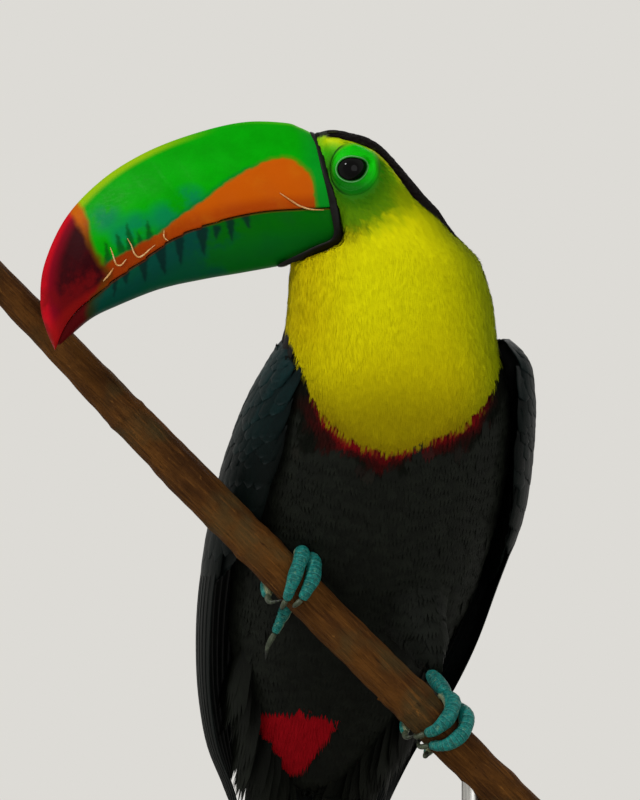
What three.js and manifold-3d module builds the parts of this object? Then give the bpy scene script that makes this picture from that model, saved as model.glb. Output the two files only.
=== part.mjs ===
// A keel-billed toucan, life size, gripping a short length of sloping branch that a plain stand holds up.
// Millimetres. +Z is up, the viewer looks along +Y, and the bill points along -X.
// The origin is the middle of the underside of the stand's base.
import * as THREE from "three";
import { mergeVertices } from "three/addons/utils/BufferGeometryUtils.js";
import Module from "manifold-3d";

const wasm = await Module();
wasm.setup();

// ---------- driving dimensions ----------
const gap = 0.3; // air between two pieces that meet
const reach = 400; // how far a cutting prism runs past the bird

const headY = -48; // the head's plane of symmetry
const bodyTurn = THREE.MathUtils.degToRad(15); // the breast faces this far round from -Y towards +X

// Level sections through head, neck and trunk, from the crown down to the root of the tail.
const bodyLevels = [
  { at: "crown", z: 413, x: -7.5, y: headY, across: 0, deep: 0 },
  { at: "brow", z: 410.4, x: -5, y: headY, across: 12.8, deep: 11.5 },
  { at: "forehead", z: 404.4, x: -0.6, y: headY, across: 16.4, deep: 17 },
  { at: "eye", z: 395.8, x: 3.3, y: headY, across: 19.5, deep: 20.5 },
  { at: "cheek", z: 382.9, x: 9.2, y: headY + 0.5, across: 23.9, deep: 23 },
  { at: "jaw", z: 369.1, x: 12.5, y: headY + 2, across: 31.4, deep: 28 },
  { at: "chin", z: 356.2, x: 14.8, y: headY + 4, across: 41, deep: 35 },
  { at: "throat", z: 339.9, x: 17.2, y: headY + 8, across: 44.6, deep: 42 },
  { at: "bib", z: 320.5, x: 17.2, y: headY + 13, across: 47, deep: 47 },
  { at: "shoulder", z: 301.2, x: 16.8, y: -26, across: 52.5, deep: 50 },
  { at: "breast", z: 275.4, x: 13.3, y: -12, across: 56.3, deep: 50 },
  { at: "keel", z: 245.3, x: 8, y: 4, across: 56.5, deep: 48 },
  { at: "belly", z: 215.2, x: 1.7, y: 21, across: 54.2, deep: 43 },
  { at: "thigh", z: 189.4, x: -4.5, y: 33.5, across: 48.4, deep: 36 },
  { at: "vent", z: 163.6, x: -8.8, y: 44, across: 38, deep: 26 },
  { at: "rump", z: 139.9, x: -13.5, y: 53, across: 27, deep: 15 },
  { at: "tail root", z: 119, x: -18.3, y: 62, across: 0, deep: 0 },
];

// The same kind of sections through the outside of the folded wings.
const wingLevels = [
  { z: 327, x: 19.5, y: -34, across: 49, deep: 42 },
  { z: 314.1, x: 21, y: -31, across: 57.5, deep: 51 },
  { z: 301.2, x: 18.6, y: -25, across: 62, deep: 54 },
  { z: 275, x: 13.4, y: -11, across: 66.8, deep: 55.5 },
  { z: 244.5, x: 7.4, y: 6, across: 69, deep: 54.5 },
  { z: 214, x: -0.5, y: 23, across: 67, deep: 50 },
  { z: 187, x: -6, y: 35, across: 63, deep: 44 },
  { z: 163, x: -11.3, y: 47, across: 56.5, deep: 37 },
  { z: 142, x: -16, y: 57, across: 48, deep: 30 },
  { z: 124, x: -17, y: 66, across: 40, deep: 25 },
  { z: 98, x: -19, y: 77, across: 31, deep: 18 },
];
const wingForward = { right: 0, left: 14 }; // degrees each wing lies towards the breast

// The bill from the side: its ridge, the line where it shuts, and its underside, each from the face to the tip.
const ridgeLine = [
  [-4, 407], [-16.3, 412.2], [-27.9, 415.5], [-45.1, 415.6], [-64.5, 411.3], [-86, 403.3],
  [-105.3, 391.5], [-121.3, 374.9], [-130.7, 354.5], [-132.7, 337.8], [-127.3, 318.8],
];
const shutLine = [
  [8, 379.5], [-3, 379], [-22.1, 378.2], [-37, 377.1], [-51.8, 374.3], [-66.7, 369.8], [-77.4, 365.5],
  [-87.3, 359.8], [-95.2, 355], [-103.2, 350.2], [-110.9, 343.8], [-117.4, 330], [-127.3, 318.8],
];
const underLine = [
  [10, 361], [-3, 364.6], [-26.2, 355.7], [-46.9, 351.1], [-61.7, 348.6], [-81.4, 344.2],
  [-101.1, 336.8], [-111, 331.8], [-116.8, 328.2],
];
const billHalfWidth = 17.5;
const mandibleHalfWidth = 15.8;
const mandibleTipShare = 0.885; // how far along the shut line the mandible ends

// The black rim of horn round the bill's base, from the side: its front edge and its back edge, top to chin.
const rimFront = [
  [-19, 419], [-14.4, 408.7], [-11.6, 400.1], [-9.9, 391.5], [-8.4, 382.9], [-7.1, 374.5],
  [-7.3, 368.2], [-10.5, 364.8], [-17.2, 361.8], [-27, 357.2], [-38, 350.5],
];
const rimBack = [
  [-14.5, 419], [-10.6, 408.2], [-8.3, 400.1], [-6.6, 391.5], [-4.9, 382.9], [-3.4, 373.5],
  [-3.1, 365.9], [-6.8, 362.7], [-17.2, 358.9], [-27, 354.8], [-38, 349.4],
];

const eyeRadius = 7.4;
const eyePlace = { x: 0.2, z: 394.8, sideways: 14.4 }; // sideways of the head's plane

// The branch.
const branch = { x: -12.9, y: -30, z: 206.6, slope: THREE.MathUtils.degToRad(45), up: 208, down: 128 };
const branchRadius = { upper: 6.9, middle: 9, lower: 9.1 };

// The stand.
const base = { length: 190, width: 156, thick: 12, corner: 24, bevel: 2 };
const rod = { x: 52, radius: 4, collarRadius: 8, collarHeight: 5 };

// ---------- solids ----------
function solidFrom(geometry) {
  const bare = geometry.clone();
  bare.deleteAttribute("normal");
  bare.deleteAttribute("uv");
  const merged = mergeVertices(bare, 1e-3);
  const made = new wasm.Manifold(new wasm.Mesh({
    numProp: 3,
    vertProperties: merged.attributes.position.array,
    triVerts: new Uint32Array(merged.index.array),
  }));
  if (made.volume() >= 0) return made;
  const turned = new Uint32Array(merged.index.array);
  for (let i = 0; i < turned.length; i += 3) [turned[i + 1], turned[i + 2]] = [turned[i + 2], turned[i + 1]];
  return new wasm.Manifold(new wasm.Mesh({
    numProp: 3,
    vertProperties: merged.attributes.position.array,
    triVerts: turned,
  }));
}

function geometryFrom(solid) {
  const mesh = solid.getMesh();
  const geometry = new THREE.BufferGeometry();
  const positions = new Float32Array(mesh.numVert * 3);
  for (let i = 0; i < mesh.numVert; i += 1) {
    for (let axis = 0; axis < 3; axis += 1) {
      positions[i * 3 + axis] = mesh.vertProperties[i * mesh.numProp + axis];
    }
  }
  geometry.setAttribute("position", new THREE.BufferAttribute(positions, 3));
  geometry.setIndex(new THREE.BufferAttribute(new Uint32Array(mesh.triVerts), 1));
  geometry.computeVertexNormals();
  return geometry;
}

function largestPiece(solid) {
  return solid.decompose().sort((a, b) => b.volume() - a.volume())[0];
}

// A unit ball whose points are moved by shape(share, angle, ring, run): share and run go from 0 to 1 from pole
// to pole, share in even rings and run with the ball's own height, and ring is the ball's radius there.
function warpedBall(around, rings, shape) {
  const ball = new THREE.SphereGeometry(1, around, rings);
  const position = ball.attributes.position;
  const p = new THREE.Vector3();
  for (let i = 0; i < position.count; i += 1) {
    p.fromBufferAttribute(position, i);
    const polar = Math.acos(THREE.MathUtils.clamp(p.y, -1, 1));
    const ring = Math.sin(polar) < 1e-6 ? 0 : Math.sin(polar);
    const angle = ring === 0 ? 0 : Math.atan2(p.z, p.x);
    p.copy(shape(polar / Math.PI, angle, ring, (1 - p.y) / 2));
    position.setXYZ(i, p.x, p.y, p.z);
  }
  return solidFrom(ball);
}

function splineOf(points) {
  return new THREE.CatmullRomCurve3(points.map((p) => new THREE.Vector3(...p)), false, "catmullrom", 0.5);
}

// Sections stacked on a spine, smoothly joined.
class Stack {
  constructor(levels) {
    this.spine = splineOf(levels.map((l) => [l.x, l.y, l.z]));
    this.size = splineOf(levels.map((l) => [l.across, l.deep, 0]));
  }

  at(share, angle, outwards = 0) {
    const size = this.size.getPoint(share);
    const across = Math.max(size.x, 0);
    const deep = Math.max(size.y, 0);
    const grow = across < 0.01 ? 0 : outwards;
    return this.spine.getPoint(share).add(
      new THREE.Vector3((across + grow) * Math.cos(angle), (deep + grow) * Math.sin(angle), 0));
  }

  shareAtHeight(z) {
    let [low, high] = [0, 1];
    for (let i = 0; i < 30; i += 1) {
      const middle = (low + high) / 2;
      if (this.spine.getPoint(middle).z > z) low = middle;
      else high = middle;
    }
    return (low + high) / 2;
  }

  solid(around, rings, outwards = 0) {
    return warpedBall(around, rings, (share, angle) => {
      const p = this.at(share, angle, outwards);
      p.z += share === 0 ? outwards : share === 1 ? -outwards : 0;
      return p;
    });
  }
}

// A limb: round sections of radius(share) along a curve through the given points.
function limb(points, radius, around, rings, flatten = 1) {
  const curve = splineOf(points);
  const steps = 60;
  const frames = curve.computeFrenetFrames(steps, false);
  return warpedBall(around, rings, (share, angle, ring) => {
    const step = share * steps;
    const low = Math.min(Math.floor(step), steps - 1);
    const side = frames.normals[low].clone().lerp(frames.normals[low + 1], step - low).normalize();
    const over = frames.binormals[low].clone().lerp(frames.binormals[low + 1], step - low).normalize();
    const r = radius(share) * Math.pow(ring, 0.45);
    return curve.getPointAt(share)
      .addScaledVector(side, r * Math.cos(angle))
      .addScaledVector(over, r * flatten * Math.sin(angle));
  });
}

// A prism of a side-view outline, right through the model from front to back.
function sidePrism(outline) {
  const shape = new THREE.Shape(outline.map(([x, z]) => new THREE.Vector2(x, z)));
  const geometry = new THREE.ExtrudeGeometry(shape, { depth: 2 * reach, bevelEnabled: false });
  geometry.rotateX(Math.PI / 2).translate(0, reach, 0);
  return solidFrom(geometry);
}

function smoothLine(points, pieces) {
  return splineOf(points.map(([x, z]) => [x, 0, z])).getPoints(pieces).map((p) => [p.x, p.z]);
}

// Keeps what lies on the normal's side of a plane through a point, half a gap away from it.
function beyond(solid, point, normal) {
  const n = normal.clone().normalize();
  return solid.trimByPlane([n.x, n.y, n.z], n.dot(point) + gap / 2);
}

function parted(solid, point, normal) {
  return [beyond(solid, point, normal), beyond(solid, point, normal.clone().negate())];
}

const material = (color, roughness, metalness = 0) =>
  new THREE.MeshStandardMaterial({ color, roughness, metalness });
const finishes = {
  blackFeather: material(0x0b0c0e, 0.75),
  wingFeather: material(0x0c1216, 0.6),
  yellowFeather: material(0xe2d400, 0.85),
  redFeather: material(0xa80f14, 0.85),
  whiteFeather: material(0xe9e6da, 0.85),
  faceSkin: material(0x6fa51b, 0.6),
  greenHorn: material(0x18a012, 0.3),
  blackHorn: material(0x0a0a0a, 0.4),
  eye: material(0x0a0c0c, 0.05),
  footSkin: material(0x1f8f97, 0.55),
  claw: material(0x6d6a55, 0.45),
  wood: material(0x6b4426, 0.7),
  baseWood: material(0x3a3632, 0.5),
  steel: material(0x8d8f92, 0.3, 1),
};

const toucan = new THREE.Group();

function place(name, solid, finish) {
  const mesh = new THREE.Mesh(geometryFrom(largestPiece(solid)), finish);
  mesh.name = name;
  toucan.add(mesh);
}

// ---------- the bill ----------
// One half of the bill: the ridge or underside on one side, the shut line on the other. fullness(up) shapes
// a section, from 1 at the shut line to 0 at the outer edge.
function billShell(outer, shut, shutShare, halfWidth, fullness, lift) {
  const outerCurve = splineOf(outer.map(([x, z]) => [x, headY, z]));
  const shutCurve = splineOf(shut.map(([x, z]) => [x, headY, z]));
  const flatTurn = Math.PI / 8; // how much of a section's half turn its flat side takes
  return warpedBall(16, 17, (share, angle, ring) => {
    const outside = outerCurve.getPointAt(share);
    const inside = shutCurve.getPointAt(share * shutShare).add(new THREE.Vector3(0, 0, lift));
    const turn = angle + Math.PI / 2; // 0 in the middle of the flat side
    const wrapped = Math.atan2(Math.sin(turn), Math.cos(turn));
    const part = Math.abs(wrapped);
    const up = part < flatTurn ? 0 : (part - flatTurn) / (Math.PI - flatTurn);
    const out = part < flatTurn ? part / flatTurn : fullness(up);
    const along = 1 - Math.pow(share, 2.3);
    const width = halfWidth * Math.sqrt(Math.max(along, 0)) * Math.min(1, ring * 6);
    const p = inside.clone().lerp(outside, up * Math.min(1, ring * 6) + 0.5 * (1 - Math.min(1, ring * 6)));
    p.y = headY + Math.sign(wrapped) * out * width;
    return p;
  });
}

function keelFullness(up) {
  return Math.pow(Math.cos((up * Math.PI) / 2), 0.72) * (0.94 + 0.14 * Math.sin(up * Math.PI));
}

const roundFullness = (up) => Math.sqrt(1 - Math.pow(up, 2.6));
const upperShell = billShell(ridgeLine, shutLine, 1, billHalfWidth, keelFullness, 0);
const lowerWhole = billShell(underLine, shutLine, mandibleTipShare, mandibleHalfWidth, roundFullness, -0.45);
const lowerShell = lowerWhole.subtract(upperShell.translate([0, 0, -gap])).subtract(upperShell);

const frontEdge = smoothLine(rimFront, 13);
const backEdge = smoothLine(rimBack, 13);
const farRight = [[90, 340], [90, 430]];
const chinEnd = backEdge[backEdge.length - 1];
const faceward = sidePrism([...frontEdge, ...farRight]);
const shift = (line, dx, dz) => line.map(([x, z]) => [x + dx, z + dz]);
const rimStrip = sidePrism([
  ...shift(frontEdge, gap * 0.7, -gap * 0.7),
  ...shift(backEdge, -gap, gap).reverse(),
]);
const billward = sidePrism([...backEdge, [-160, chinEnd[1]], [-160, 430], [-14, 430]]);

const wholeBill = upperShell.add(lowerWhole).add(lowerWhole.translate([0, 0, 0.8]));
place("bill_upper", upperShell.subtract(faceward), finishes.greenHorn);
place("bill_lower", lowerShell.subtract(faceward), finishes.greenHorn);
place("bill_rim", wholeBill.intersect(rimStrip), finishes.blackHorn);

// ---------- branch ----------
const branchRun = new THREE.Vector3(Math.cos(branch.slope), 0, -Math.sin(branch.slope));
const branchUp = new THREE.Vector3(Math.sin(branch.slope), 0, Math.cos(branch.slope));
const branchFront = new THREE.Vector3(0, -1, 0);
const branchMiddle = new THREE.Vector3(branch.x, branch.y, branch.z);
const onBranch = (along, turn, radius) => branchMiddle.clone()
  .addScaledVector(branchRun, along)
  .addScaledVector(branchUp, radius * Math.cos(turn))
  .addScaledVector(branchFront, radius * Math.sin(turn));

function branchRadiusAt(along) {
  const upper = THREE.MathUtils.smoothstep(along, -branch.up, -60);
  return THREE.MathUtils.lerp(branchRadius.upper, branchRadius.middle, upper)
    + THREE.MathUtils.smoothstep(along, 0, branch.down) * (branchRadius.lower - branchRadius.middle);
}

function branchSolid(grow) {
  const beyondSaw = 40;
  const length = branch.up + branch.down + 2 * beyondSaw;
  return warpedBall(14, 10, (share, angle, ring) => {
    const along = -branch.up - beyondSaw + share * length;
    const thinning = Math.max(branchRadius.middle - branchRadiusAt(along), 0); // its upper side stays straight
    return onBranch(along, angle, (branchRadiusAt(along) + grow) * Math.min(1, ring * 5))
      .addScaledVector(branchUp, thinning);
  });
}

const sawn = (solid) => beyond(beyond(solid, onBranch(-branch.up, 0, 0), branchRun),
  onBranch(branch.down, 0, 0), branchRun.clone().negate());
const branchGrown = branchSolid(gap);
place("perch_branch", sawn(branchSolid(0)), finishes.wood);

// ---------- feet ----------
// A toe lies on the branch along points [distance along it, turn in degrees round it], where turn 0 is the
// branch's upper side and 90 the viewer's side. Its claw carries on from the last point. A toe with hang
// points [x, y, z] leaves the branch and hangs free.
const feet = [
  {
    side: "right",
    at: -18.5,
    knee: [3, 19, 12],
    toes: [
      {
        name: "front_inner",
        path: [[-2, -28], [1.5, 12], [6, 48], [8.5, 82], [9.5, 100]],
        thick: [3.9, 3],
        claw: [9, 134],
      },
      {
        name: "front_outer",
        path: [[-5.5, -28], [-4, 20], [-1, 62], [3, 102], [5, 126]],
        thick: [3.6, 2.8],
        claw: [7, 164],
      },
      {
        name: "back_outer",
        path: [[-4, -46], [-5, -90], [-5, -132], [-2, -172]],
        thick: [3.4, 3],
        claw: [4, -216],
      },
      {
        name: "back_inner",
        path: [[4, -46], [3, -84]],
        hang: [[-26, -17.5, 210], [-32.5, -13.5, 196]],
        thick: [3, 2.5],
        claw: [-36.5, -14, 184.5],
      },
    ],
  },
  {
    side: "left",
    at: 64,
    knee: [-7, 15, 8],
    toes: [
      {
        name: "front_inner",
        path: [[-1, -28], [4, 15], [7, 55], [7, 92], [5, 116]],
        thick: [3.9, 3],
        claw: [2, 152],
      },
      {
        name: "front_outer",
        path: [[5, -28], [12, 14], [16, 56], [15, 98], [10, 130]],
        thick: [3.8, 2.9],
        claw: [5, 168],
      },
      {
        name: "back_inner",
        path: [[-3, -46], [-4, -90], [-3, -135], [-1, -170]],
        thick: [3.2, 2.6],
        claw: [3, -210],
      },
      {
        name: "back_outer",
        path: [[6, -46], [9, -90], [12, -135], [12, -166]],
        thick: [3, 2.4],
        claw: [13, -206],
      },
    ],
  },
];
const clawThick = 2;
const shinThick = 3.4;
const degrees = THREE.MathUtils.degToRad;

function gripPoint(foot, [shift, turn], lift) {
  return onBranch(foot.at + shift, degrees(turn), branchRadiusAt(foot.at + shift) + lift).toArray();
}

function toeLimb(foot, toe, grow) {
  const [thick, thin] = toe.thick;
  const hang = toe.hang || [];
  const last = toe.path.length + hang.length - 1;
  const gripped = toe.path.map((p, i) => gripPoint(foot, p, THREE.MathUtils.lerp(thick, thin, i / last)));
  return limb([...gripped, ...hang], (s) => THREE.MathUtils.lerp(thick, thin, s) + grow, 6, 8);
}

function clawLimb(foot, toe, grow) {
  const thin = toe.thick[1];
  const hang = toe.hang || [];
  const base = hang.length ? hang[hang.length - 1] : gripPoint(foot, toe.path[toe.path.length - 1], thin);
  const [shift, turn] = toe.path[toe.path.length - 1];
  const bend = [(shift + toe.claw[0]) / 2, (turn + toe.claw[1]) / 2];
  const tip = hang.length ? toe.claw : gripPoint(foot, toe.claw, 0.9);
  const middle = hang.length
    ? new THREE.Vector3(...base).lerp(new THREE.Vector3(...tip), 0.5).add(new THREE.Vector3(-1, 0, 0)).toArray()
    : gripPoint(foot, bend, thin + 0.8);
  return limb([base, middle, tip], (s) => clawThick * (1 - 0.85 * s) + grow, 5, 5);
}

function shinLimb(foot, grow) {
  const root = gripPoint(foot, [0, -6], 4.2);
  const knee = root.map((v, i) => v + foot.knee[i]);
  return limb([root, knee.map((v, i) => (v + root[i]) / 2), knee], () => shinThick + grow, 7, 6);
}

let feetGrown = null;
for (const foot of feet) {
  const shin = shinLimb(foot, 0);
  let taken = shinLimb(foot, gap);
  const shinNode = shin.subtract(branchGrown);
  place(`shin_${foot.side}`, shinNode, finishes.footSkin);
  for (const toe of foot.toes) {
    const claw = clawLimb(foot, toe, 0).subtract(branchGrown).subtract(taken);
    const clawGrown = clawLimb(foot, toe, gap);
    const digit = toeLimb(foot, toe, 0).subtract(branchGrown).subtract(clawGrown).subtract(taken);
    place(`toe_${toe.name}_${foot.side}`, digit, finishes.footSkin);
    place(`claw_${toe.name}_${foot.side}`, claw, finishes.claw);
    taken = taken.add(toeLimb(foot, toe, gap)).add(clawGrown);
  }
  feetGrown = feetGrown ? feetGrown.add(taken) : taken;
}

// ---------- head, neck and trunk, one form parted by thin cuts ----------
const bodyStack = new Stack(bodyLevels);
const bodyAround = 24;
const bodyRings = 30;
const eyeCentres = [-1, 1].map((side) =>
  new THREE.Vector3(eyePlace.x, headY + side * eyePlace.sideways, eyePlace.z));
const eyeBall = (centre, grow) =>
  solidFrom(new THREE.SphereGeometry(eyeRadius + grow, 12, 8).translate(centre.x, centre.y, centre.z));

const bodyGrown = bodyStack.solid(bodyAround, bodyRings, gap);
const body = bodyStack.solid(bodyAround, bodyRings).subtract(feetGrown).subtract(branchGrown);

const headCut = { point: new THREE.Vector3(-3, 0, 364.5), normal: new THREE.Vector3(-0.32, 0, 1) };
const bibCut = { point: new THREE.Vector3(17, -62, 274.5), normal: new THREE.Vector3(0.1, -1.55, 1) };
const mantleCut = { point: new THREE.Vector3(17, 0, 308), normal: new THREE.Vector3(0, 0.35, 1) };
const breastCut = { point: new THREE.Vector3(8, 0, 242), normal: new THREE.Vector3(0, 0.35, 1) };
const ventCut = { point: new THREE.Vector3(-8, 20, 168), normal: new THREE.Vector3(0, 0.1, 1) };
const rumpCut = { point: new THREE.Vector3(-10, 47, 160), normal: new THREE.Vector3(0.26, -1, -0.42) };

const [headWhole, belowHead] = parted(body, headCut.point, headCut.normal);
let head = headWhole.subtract(billward);
for (const centre of eyeCentres) head = head.subtract(eyeBall(centre, gap));
const [bib, behindBib] = parted(belowHead.subtract(billward), bibCut.point, bibCut.normal);
const [nape, trunk] = parted(behindBib, mantleCut.point, mantleCut.normal);
const [breast, lower] = parted(trunk, breastCut.point, breastCut.normal);
const [belly, vent] = parted(lower, ventCut.point, ventCut.normal);
const [underTail, overTail] = parted(vent, rumpCut.point, rumpCut.normal);

place("head", head, finishes.faceSkin);
place("throat_bib", bib, finishes.yellowFeather);
place("nape", nape, finishes.blackFeather);
place("breast", breast, finishes.blackFeather);
place("belly", belly, finishes.blackFeather);
place("undertail_coverts", underTail, finishes.redFeather);
place("uppertail_coverts", overTail, finishes.whiteFeather);
eyeCentres.forEach((centre, i) => place(i === 0 ? "eye_left" : "eye_right", eyeBall(centre, 0), finishes.eye));

// ---------- wings ----------
// A feather or a patch of feathers that lies on the outside of the wings: it runs down between two heights,
// along a line of angles round the body, and is as wide and thick as asked.
const wingStack = new Stack(wingLevels);
function vane({ top, end, angleTop, angleEnd, width, thick, under, around, rings, blunt }, side) {
  const outermost = side < 0 ? Math.PI + bodyTurn : bodyTurn;
  const forward = side < 0 ? wingForward.right : wingForward.left;
  return warpedBall(around, rings, (share, angle, ring, run) => {
    const z = THREE.MathUtils.lerp(top, end, run);
    const middle = THREE.MathUtils.lerp(angleTop, angleEnd, run) - forward * (1 - run);
    const swell = Math.pow(ring, blunt);
    const turn = THREE.MathUtils.degToRad(middle + width(run) * swell * Math.cos(angle));
    const out = -under - thick + thick * swell * Math.sin(angle);
    return wingStack.at(wingStack.shareAtHeight(z), outermost + side * turn, out);
  });
}

function grownVane(settings, side, grow) {
  const { top, end, width, thick, under } = settings;
  return vane({
    ...settings,
    top: top + grow,
    end: end - grow,
    width: (share) => width(share) + grow,
    thick: thick + grow,
    under: under - grow,
  }, side);
}

const covertPatch = {
  top: 325, end: 214, angleTop: 16, angleEnd: 10, width: (run) => 41 + 6 * run, thick: 4, under: 0,
  around: 14, rings: 10, blunt: 0.6,
};
const flightCount = 5;
function flightVane(i) {
  const back = i / (flightCount - 1); // 0 is the longest primary, 1 the innermost tertial
  return {
    top: 258,
    end: THREE.MathUtils.lerp(104, 164, Math.pow(back, 0.8)),
    angleTop: THREE.MathUtils.lerp(-8, 68, back),
    angleEnd: THREE.MathUtils.lerp(0, 60, back),
    width: (run) => THREE.MathUtils.lerp(16, 19, run),
    thick: 1.4,
    under: THREE.MathUtils.lerp(2.2, 0.4, back),
    around: 5,
    rings: 7,
    blunt: 0.55,
  };
}

const wings = [];
for (const side of [-1, 1]) {
  const name = side < 0 ? "right" : "left";
  const coverts = vane(covertPatch, side).subtract(bodyGrown).subtract(branchGrown);
  const covertsGrown = grownVane(covertPatch, side, 2 * gap);
  let flight = vane(flightVane(0), side);
  for (let i = 1; i < flightCount; i += 1) flight = flight.add(vane(flightVane(i), side));
  flight = flight.subtract(covertsGrown).subtract(bodyGrown).subtract(branchGrown);
  place(`wing_${name}_coverts`, coverts, finishes.wingFeather);
  place(`wing_${name}_flight`, flight, finishes.wingFeather);
  wings.push(coverts, flight);
}

// ---------- tail ----------
const tail = { root: new THREE.Vector3(-14, 50, 150), tip: new THREE.Vector3(-25, 97, 27), pairs: 5 };
const across = new THREE.Vector3(Math.cos(bodyTurn), Math.sin(bodyTurn), 0);
const tailRun = tail.tip.clone().sub(tail.root);
const tailBack = across.clone().cross(tailRun).normalize().negate(); // out of the tail's upper side

function tailFeather(side, i) {
  const out = (i + 0.5) / tail.pairs; // 0 in the middle, 1 at the edge
  const length = 1 - 0.13 * Math.pow(out, 2);
  return warpedBall(4, 7, (share, angle, ring, run) => {
    const along = run * length;
    const spread = side * out * THREE.MathUtils.lerp(10, 25, along);
    const swell = Math.pow(ring, 0.5);
    return tail.root.clone()
      .addScaledVector(tailRun, along)
      .addScaledVector(across, spread + swell * 7.8 * Math.cos(angle))
      .addScaledVector(tailBack, -out * out * 5 + swell * 1 * Math.sin(angle));
  });
}

let tailSolid = tailFeather(-1, 0);
for (const side of [-1, 1]) {
  for (let i = 0; i < tail.pairs; i += 1) tailSolid = tailSolid.add(tailFeather(side, i));
}
tailSolid = tailSolid.subtract(bodyGrown);
const wingsGrown = [-1, 1].map((side) => {
  let grown = grownVane(covertPatch, side, 2 * gap);
  for (let i = 0; i < flightCount; i += 1) grown = grown.add(grownVane(flightVane(i), side, 2 * gap));
  return grown;
});
for (const grown of wingsGrown) tailSolid = tailSolid.subtract(grown);
place("tail", tailSolid, finishes.blackFeather);

// ---------- thigh ----------
// Only the left one stands clear: the belly hangs over the right one.
const thighLine = [[10, 4, 234], [28, -4, 203], [38, -15, 176]];
let thigh = limb(thighLine, (s) => THREE.MathUtils.lerp(21, 9, s), 12, 10)
  .subtract(bodyGrown).subtract(branchGrown).subtract(feetGrown);
for (const wing of wingsGrown) thigh = thigh.subtract(wing);
place("thigh_left", thigh, finishes.blackFeather);

// ---------- stand ----------
function roundedPlate({ length, width, thick, corner, bevel }) {
  const [hx, hy] = [length / 2 - bevel, width / 2 - bevel];
  const r = corner - bevel;
  const shape = new THREE.Shape();
  shape.moveTo(-hx + r, -hy);
  shape.lineTo(hx - r, -hy);
  shape.absarc(hx - r, -hy + r, r, -Math.PI / 2, 0, false);
  shape.lineTo(hx, hy - r);
  shape.absarc(hx - r, hy - r, r, 0, Math.PI / 2, false);
  shape.lineTo(-hx + r, hy);
  shape.absarc(-hx + r, hy - r, r, Math.PI / 2, Math.PI, false);
  shape.lineTo(-hx, -hy + r);
  shape.absarc(-hx + r, -hy + r, r, Math.PI, 1.5 * Math.PI, false);
  const plate = new THREE.ExtrudeGeometry(shape, {
    depth: thick - 2 * bevel,
    bevelThickness: bevel,
    bevelSize: bevel,
    bevelSegments: 1,
    curveSegments: 3,
  });
  return solidFrom(plate.translate(0, 0, bevel));
}

const rodFoot = base.thick + gap;
const rodTop = branch.z;
const turnedRod = new THREE.LatheGeometry([
  new THREE.Vector2(0, rodFoot),
  new THREE.Vector2(rod.collarRadius, rodFoot),
  new THREE.Vector2(rod.collarRadius, rodFoot + rod.collarHeight - 1),
  new THREE.Vector2(rod.collarRadius - 1, rodFoot + rod.collarHeight),
  new THREE.Vector2(rod.radius, rodFoot + rod.collarHeight),
  new THREE.Vector2(rod.radius, rodTop),
  new THREE.Vector2(0, rodTop),
], 16);
turnedRod.rotateX(Math.PI / 2).translate(rod.x, branch.y, 0);
const rodBelowBranch = solidFrom(turnedRod).subtract(branchGrown).decompose()
  .sort((a, b) => a.boundingBox().min[2] - b.boundingBox().min[2])[0];
place("stand_base", roundedPlate(base), finishes.baseWood);
place("stand_rod", rodBelowBranch, finishes.steel);

export default toucan;
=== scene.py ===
import math

import bpy
import numpy as np
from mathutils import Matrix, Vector
from mathutils.bvhtree import BVHTree


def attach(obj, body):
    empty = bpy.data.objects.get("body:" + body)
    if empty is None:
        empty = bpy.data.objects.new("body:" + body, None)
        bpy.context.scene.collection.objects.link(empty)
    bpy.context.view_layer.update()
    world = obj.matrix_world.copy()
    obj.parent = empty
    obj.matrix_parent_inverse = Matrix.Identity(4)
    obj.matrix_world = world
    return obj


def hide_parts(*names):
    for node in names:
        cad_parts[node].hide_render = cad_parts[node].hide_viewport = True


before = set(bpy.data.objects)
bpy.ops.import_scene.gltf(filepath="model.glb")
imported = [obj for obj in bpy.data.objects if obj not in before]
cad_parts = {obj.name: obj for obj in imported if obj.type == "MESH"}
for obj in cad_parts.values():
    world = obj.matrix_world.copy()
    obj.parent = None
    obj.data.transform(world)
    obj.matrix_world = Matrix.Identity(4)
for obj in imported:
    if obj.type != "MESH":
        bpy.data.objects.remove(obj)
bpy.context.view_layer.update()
chance = np.random.default_rng(41)
mm = 0.001
headPlane = -48 * mm  # the head's middle plane, square to Y
bodyTurn = math.radians(15)


# helpers for shapes

def smooth(low, high, value):
    share = np.clip((value - low) / (high - low), 0, 1)
    return share * share * (3 - 2 * share)


def unit(vectors):
    return vectors / np.maximum(np.linalg.norm(vectors, axis=-1, keepdims=True), 1e-12)


def wrapAngle(angle):
    return (angle + 180) % 360 - 180


def sideView(points):
    return points[:, 0] / mm, points[:, 2] / mm


def ripple(points, wave, seed):
    # smooth seeded unevenness, about -1 to 1, whose bumps are about a wave apart
    source = np.random.default_rng(seed)
    total = 0
    for _ in range(7):
        way = unit(source.normal(size=3)) * 2 * math.pi / wave * source.uniform(0.6, 1.7)
        total = total + np.sin(points @ way + source.uniform(0, 6.3))
    return total / 2.6


def curveThrough(points, count):
    # evenly spaced points on a smooth line through the given ones
    points = np.asarray(points, float)
    ends = np.vstack([2 * points[0] - points[1], points, 2 * points[-1] - points[-2]])
    t = np.linspace(0, 1, 30, endpoint=False)[:, None]
    parts = []
    for a, b, c, d in zip(ends, ends[1:], ends[2:], ends[3:]):
        bend = (2 * a - 5 * b + 4 * c - d) / 2
        parts.append(b + (c - a) / 2 * t + bend * t ** 2 + (3 * b - a - 3 * c + d) / 2 * t ** 3)
    line = np.vstack(parts + [points[-1:]])
    run = np.concatenate([[0], np.cumsum(np.linalg.norm(np.diff(line, axis=0), axis=1))])
    even = np.linspace(0, run[-1], count)
    return np.stack([np.interp(even, run, column) for column in line.T], axis=1)


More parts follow.
